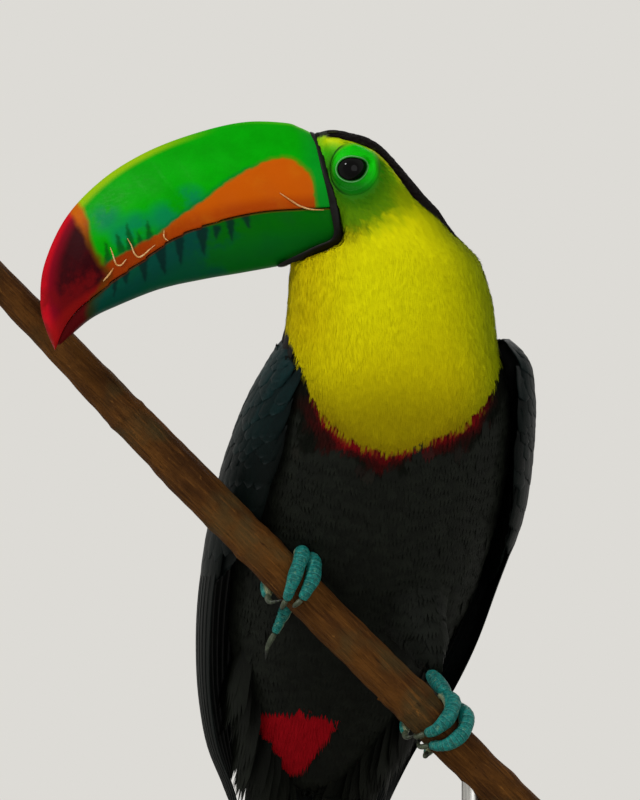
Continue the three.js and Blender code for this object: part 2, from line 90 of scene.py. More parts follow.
def sectionsAt(levels, height):
    # the columns of a table of level sections, smoothly read at any height
    table = np.array(sorted(levels), float) * mm
    heights, columns = table[:, 0], table[:, 1:]
    slopes = np.gradient(columns, heights, axis=0)
    height = np.clip(height, heights[0], heights[-1])
    low = np.clip(np.searchsorted(heights, height) - 1, 0, len(heights) - 2)
    span = (heights[low + 1] - heights[low])[..., None]
    t = (height - heights[low])[..., None] / span
    return (columns[low] * (1 + 2 * t) * (1 - t) ** 2 + columns[low + 1] * t ** 2 * (3 - 2 * t)
            + slopes[low] * span * t * (1 - t) ** 2 + slopes[low + 1] * span * t ** 2 * (t - 1))


def meshPiece(name, points, *faceSets):
    mesh = bpy.data.meshes.new(name)
    mesh.vertices.add(len(points))
    mesh.vertices.foreach_set("co", np.asarray(points, np.float32).ravel())
    corners = np.concatenate([faces.ravel() for faces in faceSets])
    sizes = np.concatenate([np.full(len(faces), faces.shape[1]) for faces in faceSets])
    mesh.loops.add(len(corners))
    mesh.loops.foreach_set("vertex_index", corners.astype(np.int32))
    mesh.polygons.add(len(sizes))
    mesh.polygons.foreach_set("loop_start", (np.cumsum(sizes) - sizes).astype(np.int32))
    mesh.update(calc_edges=True)
    mesh.validate()
    mesh.shade_smooth()
    piece = bpy.data.objects.new(name, mesh)
    bpy.context.scene.collection.objects.link(piece)
    return piece


def pointsOf(piece):
    points = np.empty(len(piece.data.vertices) * 3, np.float32)
    piece.data.vertices.foreach_get("co", points)
    return points.reshape(-1, 3).astype(float)


def movePoints(piece, points):
    piece.data.vertices.foreach_set("co", points.astype(np.float32).ravel())
    piece.data.update()


def normalsOf(piece):
    normals = np.empty(len(piece.data.vertices) * 3, np.float32)
    piece.data.vertex_normals.foreach_get("vector", normals)
    return normals.reshape(-1, 3).astype(float)


def surfaceOf(piece):
    return BVHTree.FromObject(piece, bpy.context.evaluated_depsgraph_get())


def paintPoints(piece, name, values):
    values = np.asarray(values, np.float32)
    if values.ndim == 1:
        piece.data.attributes.new(name, "FLOAT", "POINT").data.foreach_set("value", values)
        return
    rgba = np.ones((len(values), 4), np.float32)
    rgba[:, :3] = values[:, :3]
    piece.data.attributes.new(name, "FLOAT_COLOR", "POINT").data.foreach_set("color", rgba.ravel())


def gridFaces(rows, columns, closed=False):
    # quads between neighbouring rows of points; closed joins the last column to the first
    along = np.arange(rows - 1)[:, None] * columns
    wide = np.arange(columns if closed else columns - 1)[None, :]
    ahead = (wide + 1) % columns
    quads = np.stack([along + wide, along + ahead, along + columns + ahead, along + columns + wide], axis=-1)
    return quads.reshape(-1, 4)


def finishPiece(piece, material, slot, *nodes):
    piece.data.materials.clear()
    piece.data.materials.append(material)
    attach(piece, "root")
    if nodes:
        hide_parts(*nodes)
    return piece


def selectOnly(*pieces):
    bpy.ops.object.select_all(action="DESELECT")
    for piece in pieces:
        piece.select_set(True)
    bpy.context.view_layer.objects.active = pieces[0]


def startEdit(piece, action=None):
    selectOnly(piece)
    bpy.ops.object.mode_set(mode="EDIT")
    if action:
        bpy.ops.mesh.select_all(action=action)


def endEdit():
    bpy.ops.object.mode_set(mode="OBJECT")


def selectNone(piece, kind):
    # leaves no vertex, edge or face of the piece selected, ready to pick some of a kind
    startEdit(piece)
    bpy.ops.mesh.select_mode(type=kind)
    bpy.ops.mesh.select_all(action="DESELECT")
    endEdit()


def joinPieces(name, pieces):
    selectOnly(*pieces)
    bpy.ops.object.join()
    pieces[0].name = name
    return pieces[0]


def newestPiece(name):
    # names the primitive just added and applies its place and turn
    piece = bpy.context.active_object
    piece.name = name
    bpy.ops.object.transform_apply(location=True, rotation=True, scale=True)
    return piece


def applyModifier(piece, kind, **settings):
    selectOnly(piece)
    modifier = piece.modifiers.new(kind.title(), kind)
    for key, value in settings.items():
        setattr(modifier, key, value)
    bpy.ops.object.modifier_apply(modifier=modifier.name)


# helpers for materials

def tint(code):
    channels = [int(code[i:i + 2], 16) / 255 for i in (0, 2, 4)]
    return np.array([c / 12.92 if c <= 0.04045 else ((c + 0.055) / 1.055) ** 2.4 for c in channels] + [1])


def newMaterial(name, **sockets):
    material = bpy.data.materials.new(name)
    material.use_nodes = True
    shader = material.node_tree.nodes["Principled BSDF"]
    for key, value in sockets.items():
        shader.inputs[key.replace("_", " ")].default_value = value
    return material, material.node_tree


def addNode(tree, kind, inputs=None, **settings):
    # an input is another node's output, a number, or a tint's code
    node = tree.nodes.new("ShaderNode" + kind)
    for key, value in settings.items():
        setattr(node, key, value)
    for key, value in (inputs or {}).items():
        if isinstance(value, bpy.types.NodeSocket):
            tree.links.new(value, node.inputs[key])
        else:
            node.inputs[key].default_value = tint(value) if isinstance(value, str) else value
    return node


def mixTints(tree, share, first, second, mode="MIX"):
    inputs = {0: share, 6: first, 7: second}
    return addNode(tree, "Mix", inputs, data_type="RGBA", blend_type=mode).outputs[2]


def rangeOf(tree, value, low, high, lowTo=0, highTo=1, kind="SMOOTHSTEP"):
    return addNode(tree, "MapRange", {"Value": value, "From Min": low, "From Max": high, "To Min": lowTo,
                                      "To Max": highTo}, interpolation_type=kind).outputs["Result"]


def layered(tree, colour, *layers):
    # lays tints over a colour: a layer is its share, or a value and its range, and then its tint
    for share, *span, over in layers:
        colour = mixTints(tree, rangeOf(tree, share, *span) if span else share, colour, over)
    return colour


def calculate(tree, operation, first, second=0.0):
    return addNode(tree, "Math", {0: first, 1: second}, operation=operation).outputs[0]


def times(tree, first, second):
    return calculate(tree, "MULTIPLY", first, second)


def plus(tree, first, second):
    return calculate(tree, "ADD", first, second)


def attributeValue(tree, name):
    return addNode(tree, "Attribute", attribute_name=name).outputs["Fac"]


def paintColour(tree):
    return addNode(tree, "Attribute", attribute_name="paint").outputs["Color"]


def mappedTo(tree, vector, **settings):
    return addNode(tree, "Mapping", {"Vector": vector, **settings}).outputs["Vector"]


def objectPlace(tree, scale=(1, 1, 1)):
    return mappedTo(tree, addNode(tree, "TexCoord").outputs["Object"], Scale=scale)


def noiseValue(tree, vector, scale, detail=4, roughness=0.5):
    return addNode(tree, "TexNoise", {"Vector": vector, "Scale": scale, "Detail": detail,
                                      "Roughness": roughness}).outputs["Fac"]


def dressed(material, colour, roughness=None, height=None, depth=0, strength=0):
    # joins a colour, a roughness and a bump to the material's shader
    tree = material.node_tree
    sockets = tree.nodes["Principled BSDF"].inputs
    tree.links.new(colour, sockets["Base Color"])
    if roughness is not None:
        tree.links.new(roughness, sockets["Roughness"])
    if height is not None:
        bump = addNode(tree, "Bump", {"Height": height, "Distance": depth, "Strength": strength})
        tree.links.new(bump.outputs["Normal"], sockets["Normal"])
    return material


# markings, in millimetres and degrees; angles run round the body's spine and -90 faces the front

# level sections: height, then x and y of the spine, then half the width and half the depth
bodyLevels = [
    (412, -7.5, -48, 6, 6), (404, -0.6, -48, 16.4, 17), (396, 3.3, -48, 19.5, 20.5),
    (383, 9.2, -47.5, 23.9, 23), (369, 12.5, -46, 31.4, 28), (356, 14.8, -44, 41, 35),
    (340, 17.2, -40, 44.6, 42), (320, 17.2, -35, 47, 47), (301, 16.8, -26, 52.5, 50),
    (275, 13.3, -12, 56.3, 50), (245, 8, 4, 56.5, 48), (215, 1.7, 21, 54.2, 43),
    (189, -4.5, 33.5, 48.4, 36), (164, -8.8, 44, 38, 26), (140, -13.5, 53, 27, 15),
    (119, -18.3, 62, 8, 6),
]

# the black of cap, nape and body: its middle angle and how far it reaches either way, by height
blackReach = {
    "height": [255, 268, 273, 276, 280, 287, 296, 305, 317, 325, 340, 355, 369, 383, 396, 401, 405.5, 408.3,
               409.5, 410.5],
    "middle": [92, 92, 92, 92, 95, 97, 98, 100, 103, 95, 71, 50, 15, 0, 0, 0, 0, 0, 0, 0],
    "half": [215, 186, 180, 167, 156, 144, 133, 123, 104, 81, 58, 45, 33, 41, 38, 42, 51, 63, 96, 182],
}
# its edge on the forehead
crestLine = {"along": [-17, -12, -7.3, -0.1, 8.5], "height": [409, 409, 408.8, 407, 404.2]}
# the red under the tail: its left and right edges by height
crissum = {
    "height": [126, 128.5, 133, 140, 148, 155.5, 160, 164, 166.5],
    "left": [-24, -31, -35, -37, -38.5, -42, -43, -43, -30],
    "right": [-28, -26, -20, -14, -8.5, -3, -5, -14, -34],
}
eyeSpot = {"x": 0.3 * mm, "z": 394.8 * mm, "sideways": 14.4 * mm, "radius": 7.3 * mm, "bulge": 0.35 * mm}
orbitOval = {"middle": (1.8, 394.6), "half": (9.6, 11)}
plumage = {
    "yellow": tint("e2df02"),
    "warmYellow": tint("cfae02"),
    "greenYellow": tint("94a504"),
    "olive": tint("8f7c02"),
    "maroon": tint("3e0d0d"),
    "red": tint("a30c18"),
    "white": tint("ddd9c8"),
    "black": tint("10130e"),
    "napeBlack": tint("100b09"),
    "limeFace": tint("88c80c"),
    "forehead": tint("38b80c"),
    "greenFace": tint("2c6a02"),
    "cheek": tint("5a8803"),
    "orbit": tint("08c004"),
    "orbitLow": tint("026402"),
}


def bodyAngle(points):
    # the angle of each point round the body's spine, and the body's mean radius there
    section = sectionsAt(bodyLevels, points[:, 2])
    across, deep = np.maximum(section[:, 2:4], 1e-4).T
    x, y = (points[:, :2] - section[:, :2]).T
    angle = np.degrees(np.arctan2(y / deep, x / across))
    return angle, (across + deep) / 2


def insideBlack(points):
    # millimetres inside the black's border, negative out on the yellow
    angle, radius = bodyAngle(points)
    x, z = sideView(points)
    middle, half = (np.interp(z, blackReach["height"], blackReach[key]) for key in ("middle", "half"))
    above, below = (np.interp(z + step, blackReach["height"], blackReach["half"]) for step in (1.5, -1.5))
    lean = (above - below) / 3
    reach = np.radians(1) * radius / mm
    inside = (half - np.abs(wrapAngle(angle - middle))) * reach / np.sqrt(1 + (lean * reach) ** 2)
    crest = z - np.interp(x, crestLine["along"], crestLine["height"])
    return np.where((x < 9) & (z > 400), np.maximum(inside, crest), inside)


def eyeDistance(points):
    return np.hypot(points[:, 0] - eyeSpot["x"], points[:, 2] - eyeSpot["z"]) / mm


def orbitDistance(points):
    # millimetres outside the oval of bare orbital skin
    x, z = sideView(points)
    x, z = x - orbitOval["middle"][0], z - orbitOval["middle"][1]
    long, high = orbitOval["half"]
    away = np.hypot(x, z)
    return away - away / np.maximum(np.hypot(x / long, z / high), 1e-6)


def faceLineAt(x):
    # the height, on the side of the head, where bare-looking face gives way to the yellow bib
    return np.interp(x, [-12, -5, -1, 1.7, 5.6, 9.5, 13.3, 17.2, 25, 33],
                     [366.5, 364.5, 364.5, 366, 368.5, 371.5, 373.8, 375.6, 378.5, 380])


def plainTint(name, points):
    return np.tile(plumage[name][:3], (len(points), 1))


def markings(points):
    # the colour of skin and plumage at each point
    x, z = sideView(points)
    angle, _ = bodyAngle(points)
    uneven = ripple(points, 9 * mm, 3)
    inside = insideBlack(points) + 0.5 * uneven

    def blend(base, colour, share):
        return base + (plumage[colour][:3] - base) * np.clip(share, 0, 1)[:, None]

    yellow = plainTint("yellow", points)
    yellow = blend(yellow, "warmYellow", 0.55 * smooth(-100, -150, angle) * smooth(300, 330, z))
    yellow = blend(yellow, "warmYellow", 0.35 * smooth(345, 300, z))
    # painted shade: the bib's yellow is painted darker olive towards its bottom; below 330 mm it is also a
    # little darker within 10 mm of the black
    low = 0.68 * smooth(314, 284, z) + 0.25 * smooth(-10, -1, inside) * smooth(330, 300, z)
    yellow = blend(yellow, "olive", low)
    # greener and darker towards the bib's right edge: partly the bib's own greener tint, partly painted
    # shade
    yellow = blend(yellow, "greenYellow", 0.9 * smooth(-64, -15, angle) * smooth(150, 60, np.abs(angle)))
    fromEye = orbitDistance(points)
    cheek = blend(plainTint("cheek", points), "limeFace", smooth(392, 405, z + 0.35 * x))
    for name, share in (
        ("forehead", smooth(-4, -7, x) * smooth(386, 396, z) * smooth(407, 401, z)),
        ("greenFace", smooth(7.5, 0.5, fromEye) * smooth(407, 397, z)),
        ("greenFace", smooth(9, 2, fromEye) * smooth(388, 380, z) * 0.5),
        ("yellow", 0.55 * smooth(-4.5, -1.5, inside) * smooth(384, 392, z) * smooth(-14, -9, x)),
        ("yellow", 0.3 * smooth(15, 22, x) * smooth(366, 373, z) * smooth(392, 384, z)),
        # warmer, darker yellow just under the corner of the bill: partly its own warmer tint, partly painted
        # shade under the bill
        ("warmYellow", smooth(374, 364, z) * smooth(12, 2, x) * 0.5),
    ):
        cheek = blend(cheek, name, share)
    orbit = blend(plainTint("orbit", points), "orbitLow", smooth(400, 386, z + 0.3 * x))
    cheek += (orbit - cheek) * smooth(1.6, -1.2, fromEye + 0.25 * uneven)[:, None]
    face = smooth(-7, 5.5, z - faceLineAt(x) + 1.6 * ripple(points, 5 * mm, 5))
    colour = yellow + (cheek - yellow) * face[:, None]

    dark = blend(plainTint("black", points), "napeBlack", smooth(290, 330, z))
    band = smooth(8, 1.5, inside + 1.3 * uneven) * smooth(300, 286, z)
    dark = blend(dark, "maroon", band)
    dark = blend(dark, "red", 0.5 * band * smooth(3, 0.5, inside))
    left, right = (np.interp(z, crissum["height"], crissum[key]) for key in ("left", "right"))
    within = smooth(-1.2, 0.8, np.minimum(x - left, right - x) + 0.8 * uneven)
    dark = blend(dark, "red", within * (angle < 0))
    rump = smooth(126, 131, z) * smooth(170, 160, z + 3 * uneven)
    dark = blend(dark, "white", smooth(62, 48, np.abs(wrapAngle(angle - 105))) * rump)
    colour += (dark - colour) * smooth(-0.5, 0.5, inside)[:, None]
    return colour


def coatDepth(points):
    # how deep the coat lies over the skin
    z = points[:, 2] / mm
    bare = smooth(-0.5, 1, -insideBlack(points)) * smooth(366, 380, z + 0.35 * points[:, 0] / mm)
    depth = 1.1 + 0.9 * smooth(375, 350, z) + 0.9 * smooth(320, 280, z)
    return (depth + (0.3 - depth) * bare) * mm


def crownTrim(points, normals):
    # a last fitting of the crown and nape to the bird's outline
    trim = np.interp(points[:, 0] / mm, [-16, -12, -8, -4, 0, 8, 14, 20, 26, 32, 38, 46],
                     [-1.2, -0.9, 0, 0.5, 0.9, 1.2, 1.0, 0.6, 0.2, 0, -1.1, 0])
    return trim * smooth(0.9, 0.5, np.abs(normals[:, 1])) * smooth(366, 380, points[:, 2] / mm) * mm


def lieOf(points, normals):
    # which way the coat lies: back from the bill, down the neck and along the trunk
    z = points[:, 2] / mm
    trunk = np.array([-0.15, 0.38, -0.9])
    neck = np.array([0.1, -0.12, -1.0])
    headwards = smooth(352, 384, z)[:, None]
    trunkwards = smooth(322, 285, z)[:, None]
    headWay = np.stack([np.ones(len(z)), np.zeros(len(z)), -0.25 - 0.6 * smooth(400, 375, z)], axis=1)
    way = neck * (1 - headwards) + headWay * headwards
    way = way * (1 - trunkwards) + trunk * trunkwards
    sway = np.stack([ripple(points, 40 * mm, 11), ripple(points, 40 * mm, 12), 0 * z], axis=1) * 0.12
    way = way + sway
    return unit(way - normals * np.sum(way * normals, axis=1, keepdims=True))


# the bill: ridge, shut line and underside from the side, from the face to the tip

bill = {
    "shut": [(8, 379.5), (-3, 379), (-22.1, 378.2), (-37, 377.1), (-51.8, 374.3), (-66.7, 369.8),
             (-77.4, 364.6), (-87.3, 357.5), (-95.2, 352.1), (-102.6, 346.8), (-108.4, 341.8),
             (-114.8, 336.6), (-119.4, 331.4), (-122.8, 325.8), (-126.1, 318)],
    "upper": {
        "edge": [(-4, 404.5), (-16.3, 410.8), (-21.5, 413.3), (-27.9, 415.3), (-45.1, 415.6), (-64.5, 411.3),
                 (-86, 403.3), (-105.3, 391.5), (-121.3, 374.9), (-130.7, 354.5), (-132.3, 337.8),
                 (-130, 327.3), (-126.1, 318)],
        "halfWidth": 17.3, "tipShare": 1, "gap": 0, "teeth": 0.75,
        "rimWider": 0, "rimHeight": 1,  # where the rim lies over it
    },
    "lower": {
        "edge": [(10, 358), (-3, 360.5), (-14.6, 358.7), (-26.2, 355), (-46.9, 351.1), (-61.7, 348.6),
                 (-81.4, 344.2), (-101.1, 336.4), (-110.5, 331.7), (-118.5, 325.2), (-124, 320.4)],
        "halfWidth": 15.7, "tipShare": 0.98, "gap": 0.45, "teeth": 0.5,
        "rimWider": 1.1, "rimHeight": 0.84, "greenFrom": -57,
    },
    "toothApart": 7.9,
}
rim = {
    "front": [(-20.5, 419), (-16.6, 409.5), (-14.8, 405.5), (-13.3, 398.8), (-11.6, 392), (-9.9, 385.2),
              (-8.4, 377), (-7.4, 371.6), (-7, 367.6), (-8.6, 364.8), (-14.6, 362.3), (-21.4, 359),
              (-28.5, 355.6), (-36, 350.5)],
    "back": [(-16, 419), (-14.2, 409.5), (-13, 405.5), (-10.6, 398.8), (-9.2, 392), (-6.9, 385.2),
             (-5, 378.4), (-4, 371.6), (-3.2, 366.6), (-5.3, 362.9), (-14.6, 359.2), (-21.4, 356.7),
             (-28.5, 354), (-36, 349)],
    "proud": 0.55,
    "sunk": -0.25,
}


def rimLine(edge, heights):
    line = curveThrough(rim[edge], 60)[::-1] * mm
    return np.interp(heights, line[:, 1], line[:, 0])


def fullness(half, up):
    # the share of its half-width that a half of the bill keeps, up from the shut line
    if half == "upper":
        return np.power(np.cos(up * math.pi / 2), 0.72) * (0.94 + 0.14 * np.sin(up * math.pi))
    return np.sqrt(np.maximum(1 - np.power(up, 2.6), 0))


def upFromShut(columns):
    # shares from the shut line to the outer edge, closer together near the edge
    return 1 - (1 - np.linspace(0, 1, columns)) ** 1.8


def billEdges(half, count):
    # evenly spaced shares from face to tip, with the shut edge and outer edge of a half at them
    fine = np.linspace(0, 1, count)
    outer, shut = curveThrough(bill[half]["edge"], count), curveThrough(bill["shut"], count)
    share = fine * bill[half]["tipShare"]
    return fine, np.stack([np.interp(share, fine, column) for column in shut.T], axis=1), outer


horn = {
    "green": tint("03a204"),
    "deepGreen": tint("037403"),
    "teal": tint("047a50"),
    # the lower bill's teal and green are its own colours, painted darker than the upper bill's green as
    # painted shade on the downward-facing lower half
    "lowerTeal": tint("034236"),
    "lowerGreen": tint("025e04"),
    "orange": tint("c25603"),
    "orangeDeep": tint("aa4104"),
    "yellow": tint("8fb808"),
    "crimson": tint("7c061a"),
    "darkCrimson": tint("2e0409"),
    "toothDark": tint("05211f"),
    "black": tint("0a0a09"),
}
# borders of the bill's colours from the side
orangeBorder = [(-15.4, 376), (-15.4, 383.1), (-18.8, 394.1), (-28.2, 399.2), (-41.8, 395.4), (-56.2, 386.4),
                (-68.9, 376.7), (-80.5, 368.2), (-89.3, 363), (-97.8, 358.4), (-105.5, 352), (-111, 345)]
redBorder = [(-126, 384), (-118.2, 374.6), (-113.5, 365.7), (-108, 355.5), (-104.6, 350.5), (-105.2, 348),
             (-108.4, 343.2), (-110.9, 337.2), (-111.5, 320)]
tealSpots = [(-68, 382.5, 7), (-79, 374.5, 8), (-91, 371.5, 7), (-104, 374, 8), (-97, 366, 6)]
# dark spikes of colour along the cutting edges: root, point, half width at the root
lowerSpikes = [
    (-99.9, 349.5, -100.7, 340.2, 1.3), (-96.1, 352.9, -95.2, 345.7, 2.3), (-88.4, 356.7, -87.2, 346.6, 2.3),
    (-80.8, 360.6, -78.7, 349.9, 2.5), (-72.7, 364.4, -71.9, 353.8, 2.1), (-63.0, 368.2, -62.1, 358.0, 2.5),
    (-56.6, 369.9, -57.0, 364.8, 1.7), (-51.1, 372.4, -50.2, 364.0, 1.9), (-44.3, 374.6, -43.0, 369.5, 1.7),
]
upperSpikes = [
    (-102.9, 355.5, -104.1, 364.4, 1.7), (-97.4, 361.0, -99.5, 368.2, 1.7),
    (-93.1, 361.8, -95.2, 372.4, 1.9), (-88.9, 363.5, -90.6, 368.6, 1.3),
    (-85.0, 364.8, -86.3, 373.7, 1.7),
]
# curls of worn keratin: places from the side along the shut line
flakes = [
    [(-94.8, 365.7), (-93.1, 362.7), (-91.8, 359.3), (-90.1, 357.6), (-88.0, 358.4), (-85.5, 360.6),
     (-82.9, 362.7)],
    [(-79.1, 369.0), (-79.1, 366.1), (-77.4, 364.4)],
    [(-102.0, 361.8), (-100.7, 358.0), (-99.5, 354.6), (-97.4, 354.2), (-95.2, 356.7)],
    [(-29.9, 384.7), (-25.6, 381.8), (-21.4, 379.2), (-16.7, 377.8), (-11.2, 377.5)],
    [(-105.0, 347.4), (-102.4, 350.4), (-100.7, 352.9)],
]


def spikeShare(x, z, spikes, wander):
    share = 0
    for rootX, rootZ, tipX, tipZ, half in spikes:
        axis = np.array([tipX - rootX, tipZ - rootZ])
        long = np.hypot(*axis)
        axis = axis / long
        along = ((x - rootX) * axis[0] + (z - rootZ) * axis[1]) / long
        aside = np.abs((x - rootX) * axis[1] - (z - rootZ) * axis[0] + 0.2 * wander)
        thick = half * np.clip(1 - along, 0, 1) ** 0.8 + 0.1
        share = np.maximum(share, smooth(thick + 0.45, thick - 0.65, aside) * smooth(1.05, 0.9, along)
                           * smooth(-0.35, -0.1, along))
    return share


def sideDistance(x, z, border):
    # millimetres from a line drawn from the side, positive on its left hand going along it
    line = curveThrough(border, 160)
    starts, steps = line[:-1], np.diff(line, axis=0)
    nearest = np.full(len(x), 1e9)
    signed = np.zeros(len(x))
    for start, step in zip(starts, steps):
        dx, dz = x - start[0], z - start[1]
        t = np.clip((dx * step[0] + dz * step[1]) / (step @ step), 0, 1)
        away = np.hypot(dx - t * step[0], dz - t * step[1])
        turn = np.sign(step[0] * dz - step[1] * dx)
        closer = away < nearest
        nearest = np.where(closer, away, nearest)
        signed = np.where(closer, away * turn, signed)
    return signed


def billShell(half, rows, columns):
    # a half's sections run from the shut line round the outer edge and back
    part = bill[half]
    fine, inner, outer = billEdges(half, 400)
    inner[:, 1] -= part["gap"]
    toothed = smooth(-52, -60, inner[:, 0]) * smooth(-114, -108, inner[:, 0])
    inner[:, 1] -= part["teeth"] * toothed * ((inner[:, 0] / bill["toothApart"]) % 1) ** 1.5
    up = upFromShut(columns)
    backHeights = np.linspace(349, 419, 80)
    backLine = rimLine("back", backHeights * mm) / mm
    starts = []
    for share in up:
        path = inner + (outer - inner) * share
        ahead = path[:, 0] - np.interp(path[:, 1], backHeights, backLine)
        starts.append(fine[np.argmax(ahead < 0)])
    starts = np.array(starts)
    v = 1 - (1 - np.linspace(0, 1, rows)) ** 1.5
    share = starts[None, :] + (1 - starts[None, :]) * v[:, None]
    innerX, innerZ, outerX, outerZ = (np.interp(share, fine, column) for column in (*inner.T, *outer.T))
    x = innerX + (outerX - innerX) * up
    z = innerZ + (outerZ - innerZ) * up
    width = part["halfWidth"] * np.sqrt(1 - share ** 2.3) * fullness(half, up)
    width = width * (1 + 0.012 * np.sin(x / 3.1 + z / 5) * smooth(0.9, 0.5, up))
    oneSide = np.stack([x, -width, z], axis=2)
    floor = np.linspace(1, -1, 7)[1:-1][None, :, None]
    closing = oneSide[:, :1] * np.array([1, 0, 1]) + oneSide[:, :1] * np.array([0, -1, 0]) * floor
    ring = np.concatenate([oneSide, (oneSide * [1, -1, 1])[:, -2::-1], closing], axis=1)
    ring[:, :, 1] += headPlane / mm
    faces = gridFaces(rows, ring.shape[1], closed=True)
    if half == "lower":
        faces = faces[:, ::-1]
    piece = meshPiece(f"bill_{half}_horn", ring.reshape(-1, 3) * mm, faces)
    upAll = np.concatenate([up, up[-2::-1], np.zeros(5)])
    deep = np.abs(outerZ - innerZ)
    deep = np.concatenate([deep, deep[:, -2::-1], deep[:, :5]], axis=1)
    paintPoints(piece, "edgeRun", (deep * upAll).ravel())
    paintPoints(piece, "outerRun", (deep * (1 - upAll)).ravel())
    return piece


def paintBill(piece, spikes):
    points = pointsOf(piece)
    x, z = sideView(points)
    teal = sum(smooth(1.15, 0.2, np.hypot((x - a) * 0.9, z - b) / r) for a, b, r in tealSpots)
    paintPoints(piece, "orangeEdge", sideDistance(x, z, orangeBorder))
    paintPoints(piece, "redEdge", -sideDistance(x, z, redBorder))
    paintPoints(piece, "tealShare", np.clip(teal, 0, 1))
    paintPoints(piece, "toothShare", spikeShare(x, z, spikes, ripple(points * [1, 0, 1], 3 * mm, 17)))
    paintPoints(piece, "foreRun", -x)
    print(piece.name, len(piece.data.polygons), "faces")


upperBill = billShell("upper", 340, 78)
paintBill(upperBill, upperSpikes)
lowerBill = billShell("lower", 300, 60)
paintBill(lowerBill, lowerSpikes)


def rimBand(name, rows, columns):
    # the black band of horn where the bill meets the face, lying over both
    outline = []
    for half in ("upper", "lower"):
        part = bill[half]
        fine, inner, outer = billEdges(half, 3000)
        up = upFromShut(columns)
        lines = []
        for one, full in zip(up, fullness(half, part["rimHeight"] * up)):
            path = inner + (outer - inner) * one
            reach = []
            for edge in ("front", "back"):
                ahead = path[:, 0] * mm - rimLine(edge, path[:, 1] * mm)
                reach.append(fine[np.argmax(ahead < 0)])
            spot = reach[0] + (reach[1] - reach[0]) * np.linspace(0, 1, rows)
            width = (part["halfWidth"] + part["rimWider"]) * np.sqrt(1 - spot ** 2.3) * full
            x, z = (np.interp(spot, fine, column) for column in path.T)
            lines.append(np.stack([x, -width, z], axis=1))
        outline.append(np.array(lines))
    near = np.concatenate([outline[1][::-1], outline[0][1:]])
    far = near[-2:0:-1] * [1, -1, 1]
    ring = np.concatenate([near, far])
    ring[:, :, 1] += headPlane / mm
    flat = ring * mm
    alongBand = np.roll(flat, -1, axis=0) - np.roll(flat, 1, axis=0)
    acrossBand = np.gradient(flat, axis=1)
    outwards = unit(np.cross(alongBand, acrossBand))
    middle = flat.mean(axis=(0, 1))
    outwards *= np.sign(np.sum(outwards * (flat - middle), axis=2, keepdims=True))
    v = np.linspace(0, 1, rows)
    arch = np.power(np.sin(np.clip(v, 0.001, 0.999) * math.pi), 0.35)
    swell = rim["sunk"] + (rim["proud"] - rim["sunk"]) * arch
    points = flat + outwards * (swell * mm)[None, :, None]
    count = len(ring)
    faces = gridFaces(count, rows)
    last = np.arange(rows - 1)
    join = np.stack([(count - 1) * rows + last, (count - 1) * rows + last + 1, last + 1, last], axis=1)
    return meshPiece(name, points.reshape(-1, 3), faces, join)


def billSurface(x, z):
    # half the bill's width at a place from the side, nearest of either half
    best = 0
    for half in ("upper", "lower"):
        fine, inner, outer = billEdges(half, 300)
        up = np.linspace(0, 0.95, 60)[:, None]
        places = inner[None] + (outer - inner)[None] * up[..., None]
        away = np.hypot(places[..., 0] - x, places[..., 1] - z)
        row, column = np.unravel_index(np.argmin(away), away.shape)
        width = bill[half]["halfWidth"] * fullness(half, up[row, 0])
        if away[row, column] < 1.5:
            best = max(best, width * math.sqrt(1 - fine[column] ** 2.3))
    return best


def keratinCurls():
    strips, faces = [], []
    for index, flake in enumerate(flakes):
        line = curveThrough(flake, 26)
        share = np.linspace(0, 1, 26)
        tangent = unit(np.gradient(line, axis=0))
        across = np.stack([-tangent[:, 1], tangent[:, 0]], axis=1)
        half = 0.34 * np.sin(np.clip(share, 0.02, 0.98) * math.pi) ** 0.5 + 0.05
        lift = 0.12 + 0.3 * np.abs(np.sin(share * 7 + index))
        out = np.array([billSurface(*place) for place in line])
        rows = []
        for aside, proud in ((-1, 0.0), (-0.3, 0.16), (0.4, 0.22), (1, 0.05), (0.4, 0.0), (-0.3, -0.05)):
            place = line + across * (half * aside)[:, None]
            rows.append(np.stack([place[:, 0], headPlane / mm - out - lift - proud, place[:, 1]], axis=1))
        ring = np.stack(rows, axis=1)
        faces.append(gridFaces(26, 6, closed=True) + index * 26 * 6)
        strips.append(ring.reshape(-1, 3))
    return meshPiece("bill_keratin_curls", np.vstack(strips) * mm, np.vstack(faces))


def flakeMaterial():
    material, tree = newMaterial("worn_keratin", Roughness=0.5, IOR=1.5, Subsurface_Weight=0.1)
    mottle = noiseValue(tree, objectPlace(tree), 900, 4, 0.6)
    colour = layered(tree, "c9822e", (mottle, 0.35, 0.7, "e8c48a"))
    return dressed(material, colour, None, mottle, 0.0001, 0.5)


rimPiece = rimBand("bill_rim_band", 15, 60)
print("rim", len(rimPiece.data.polygons))


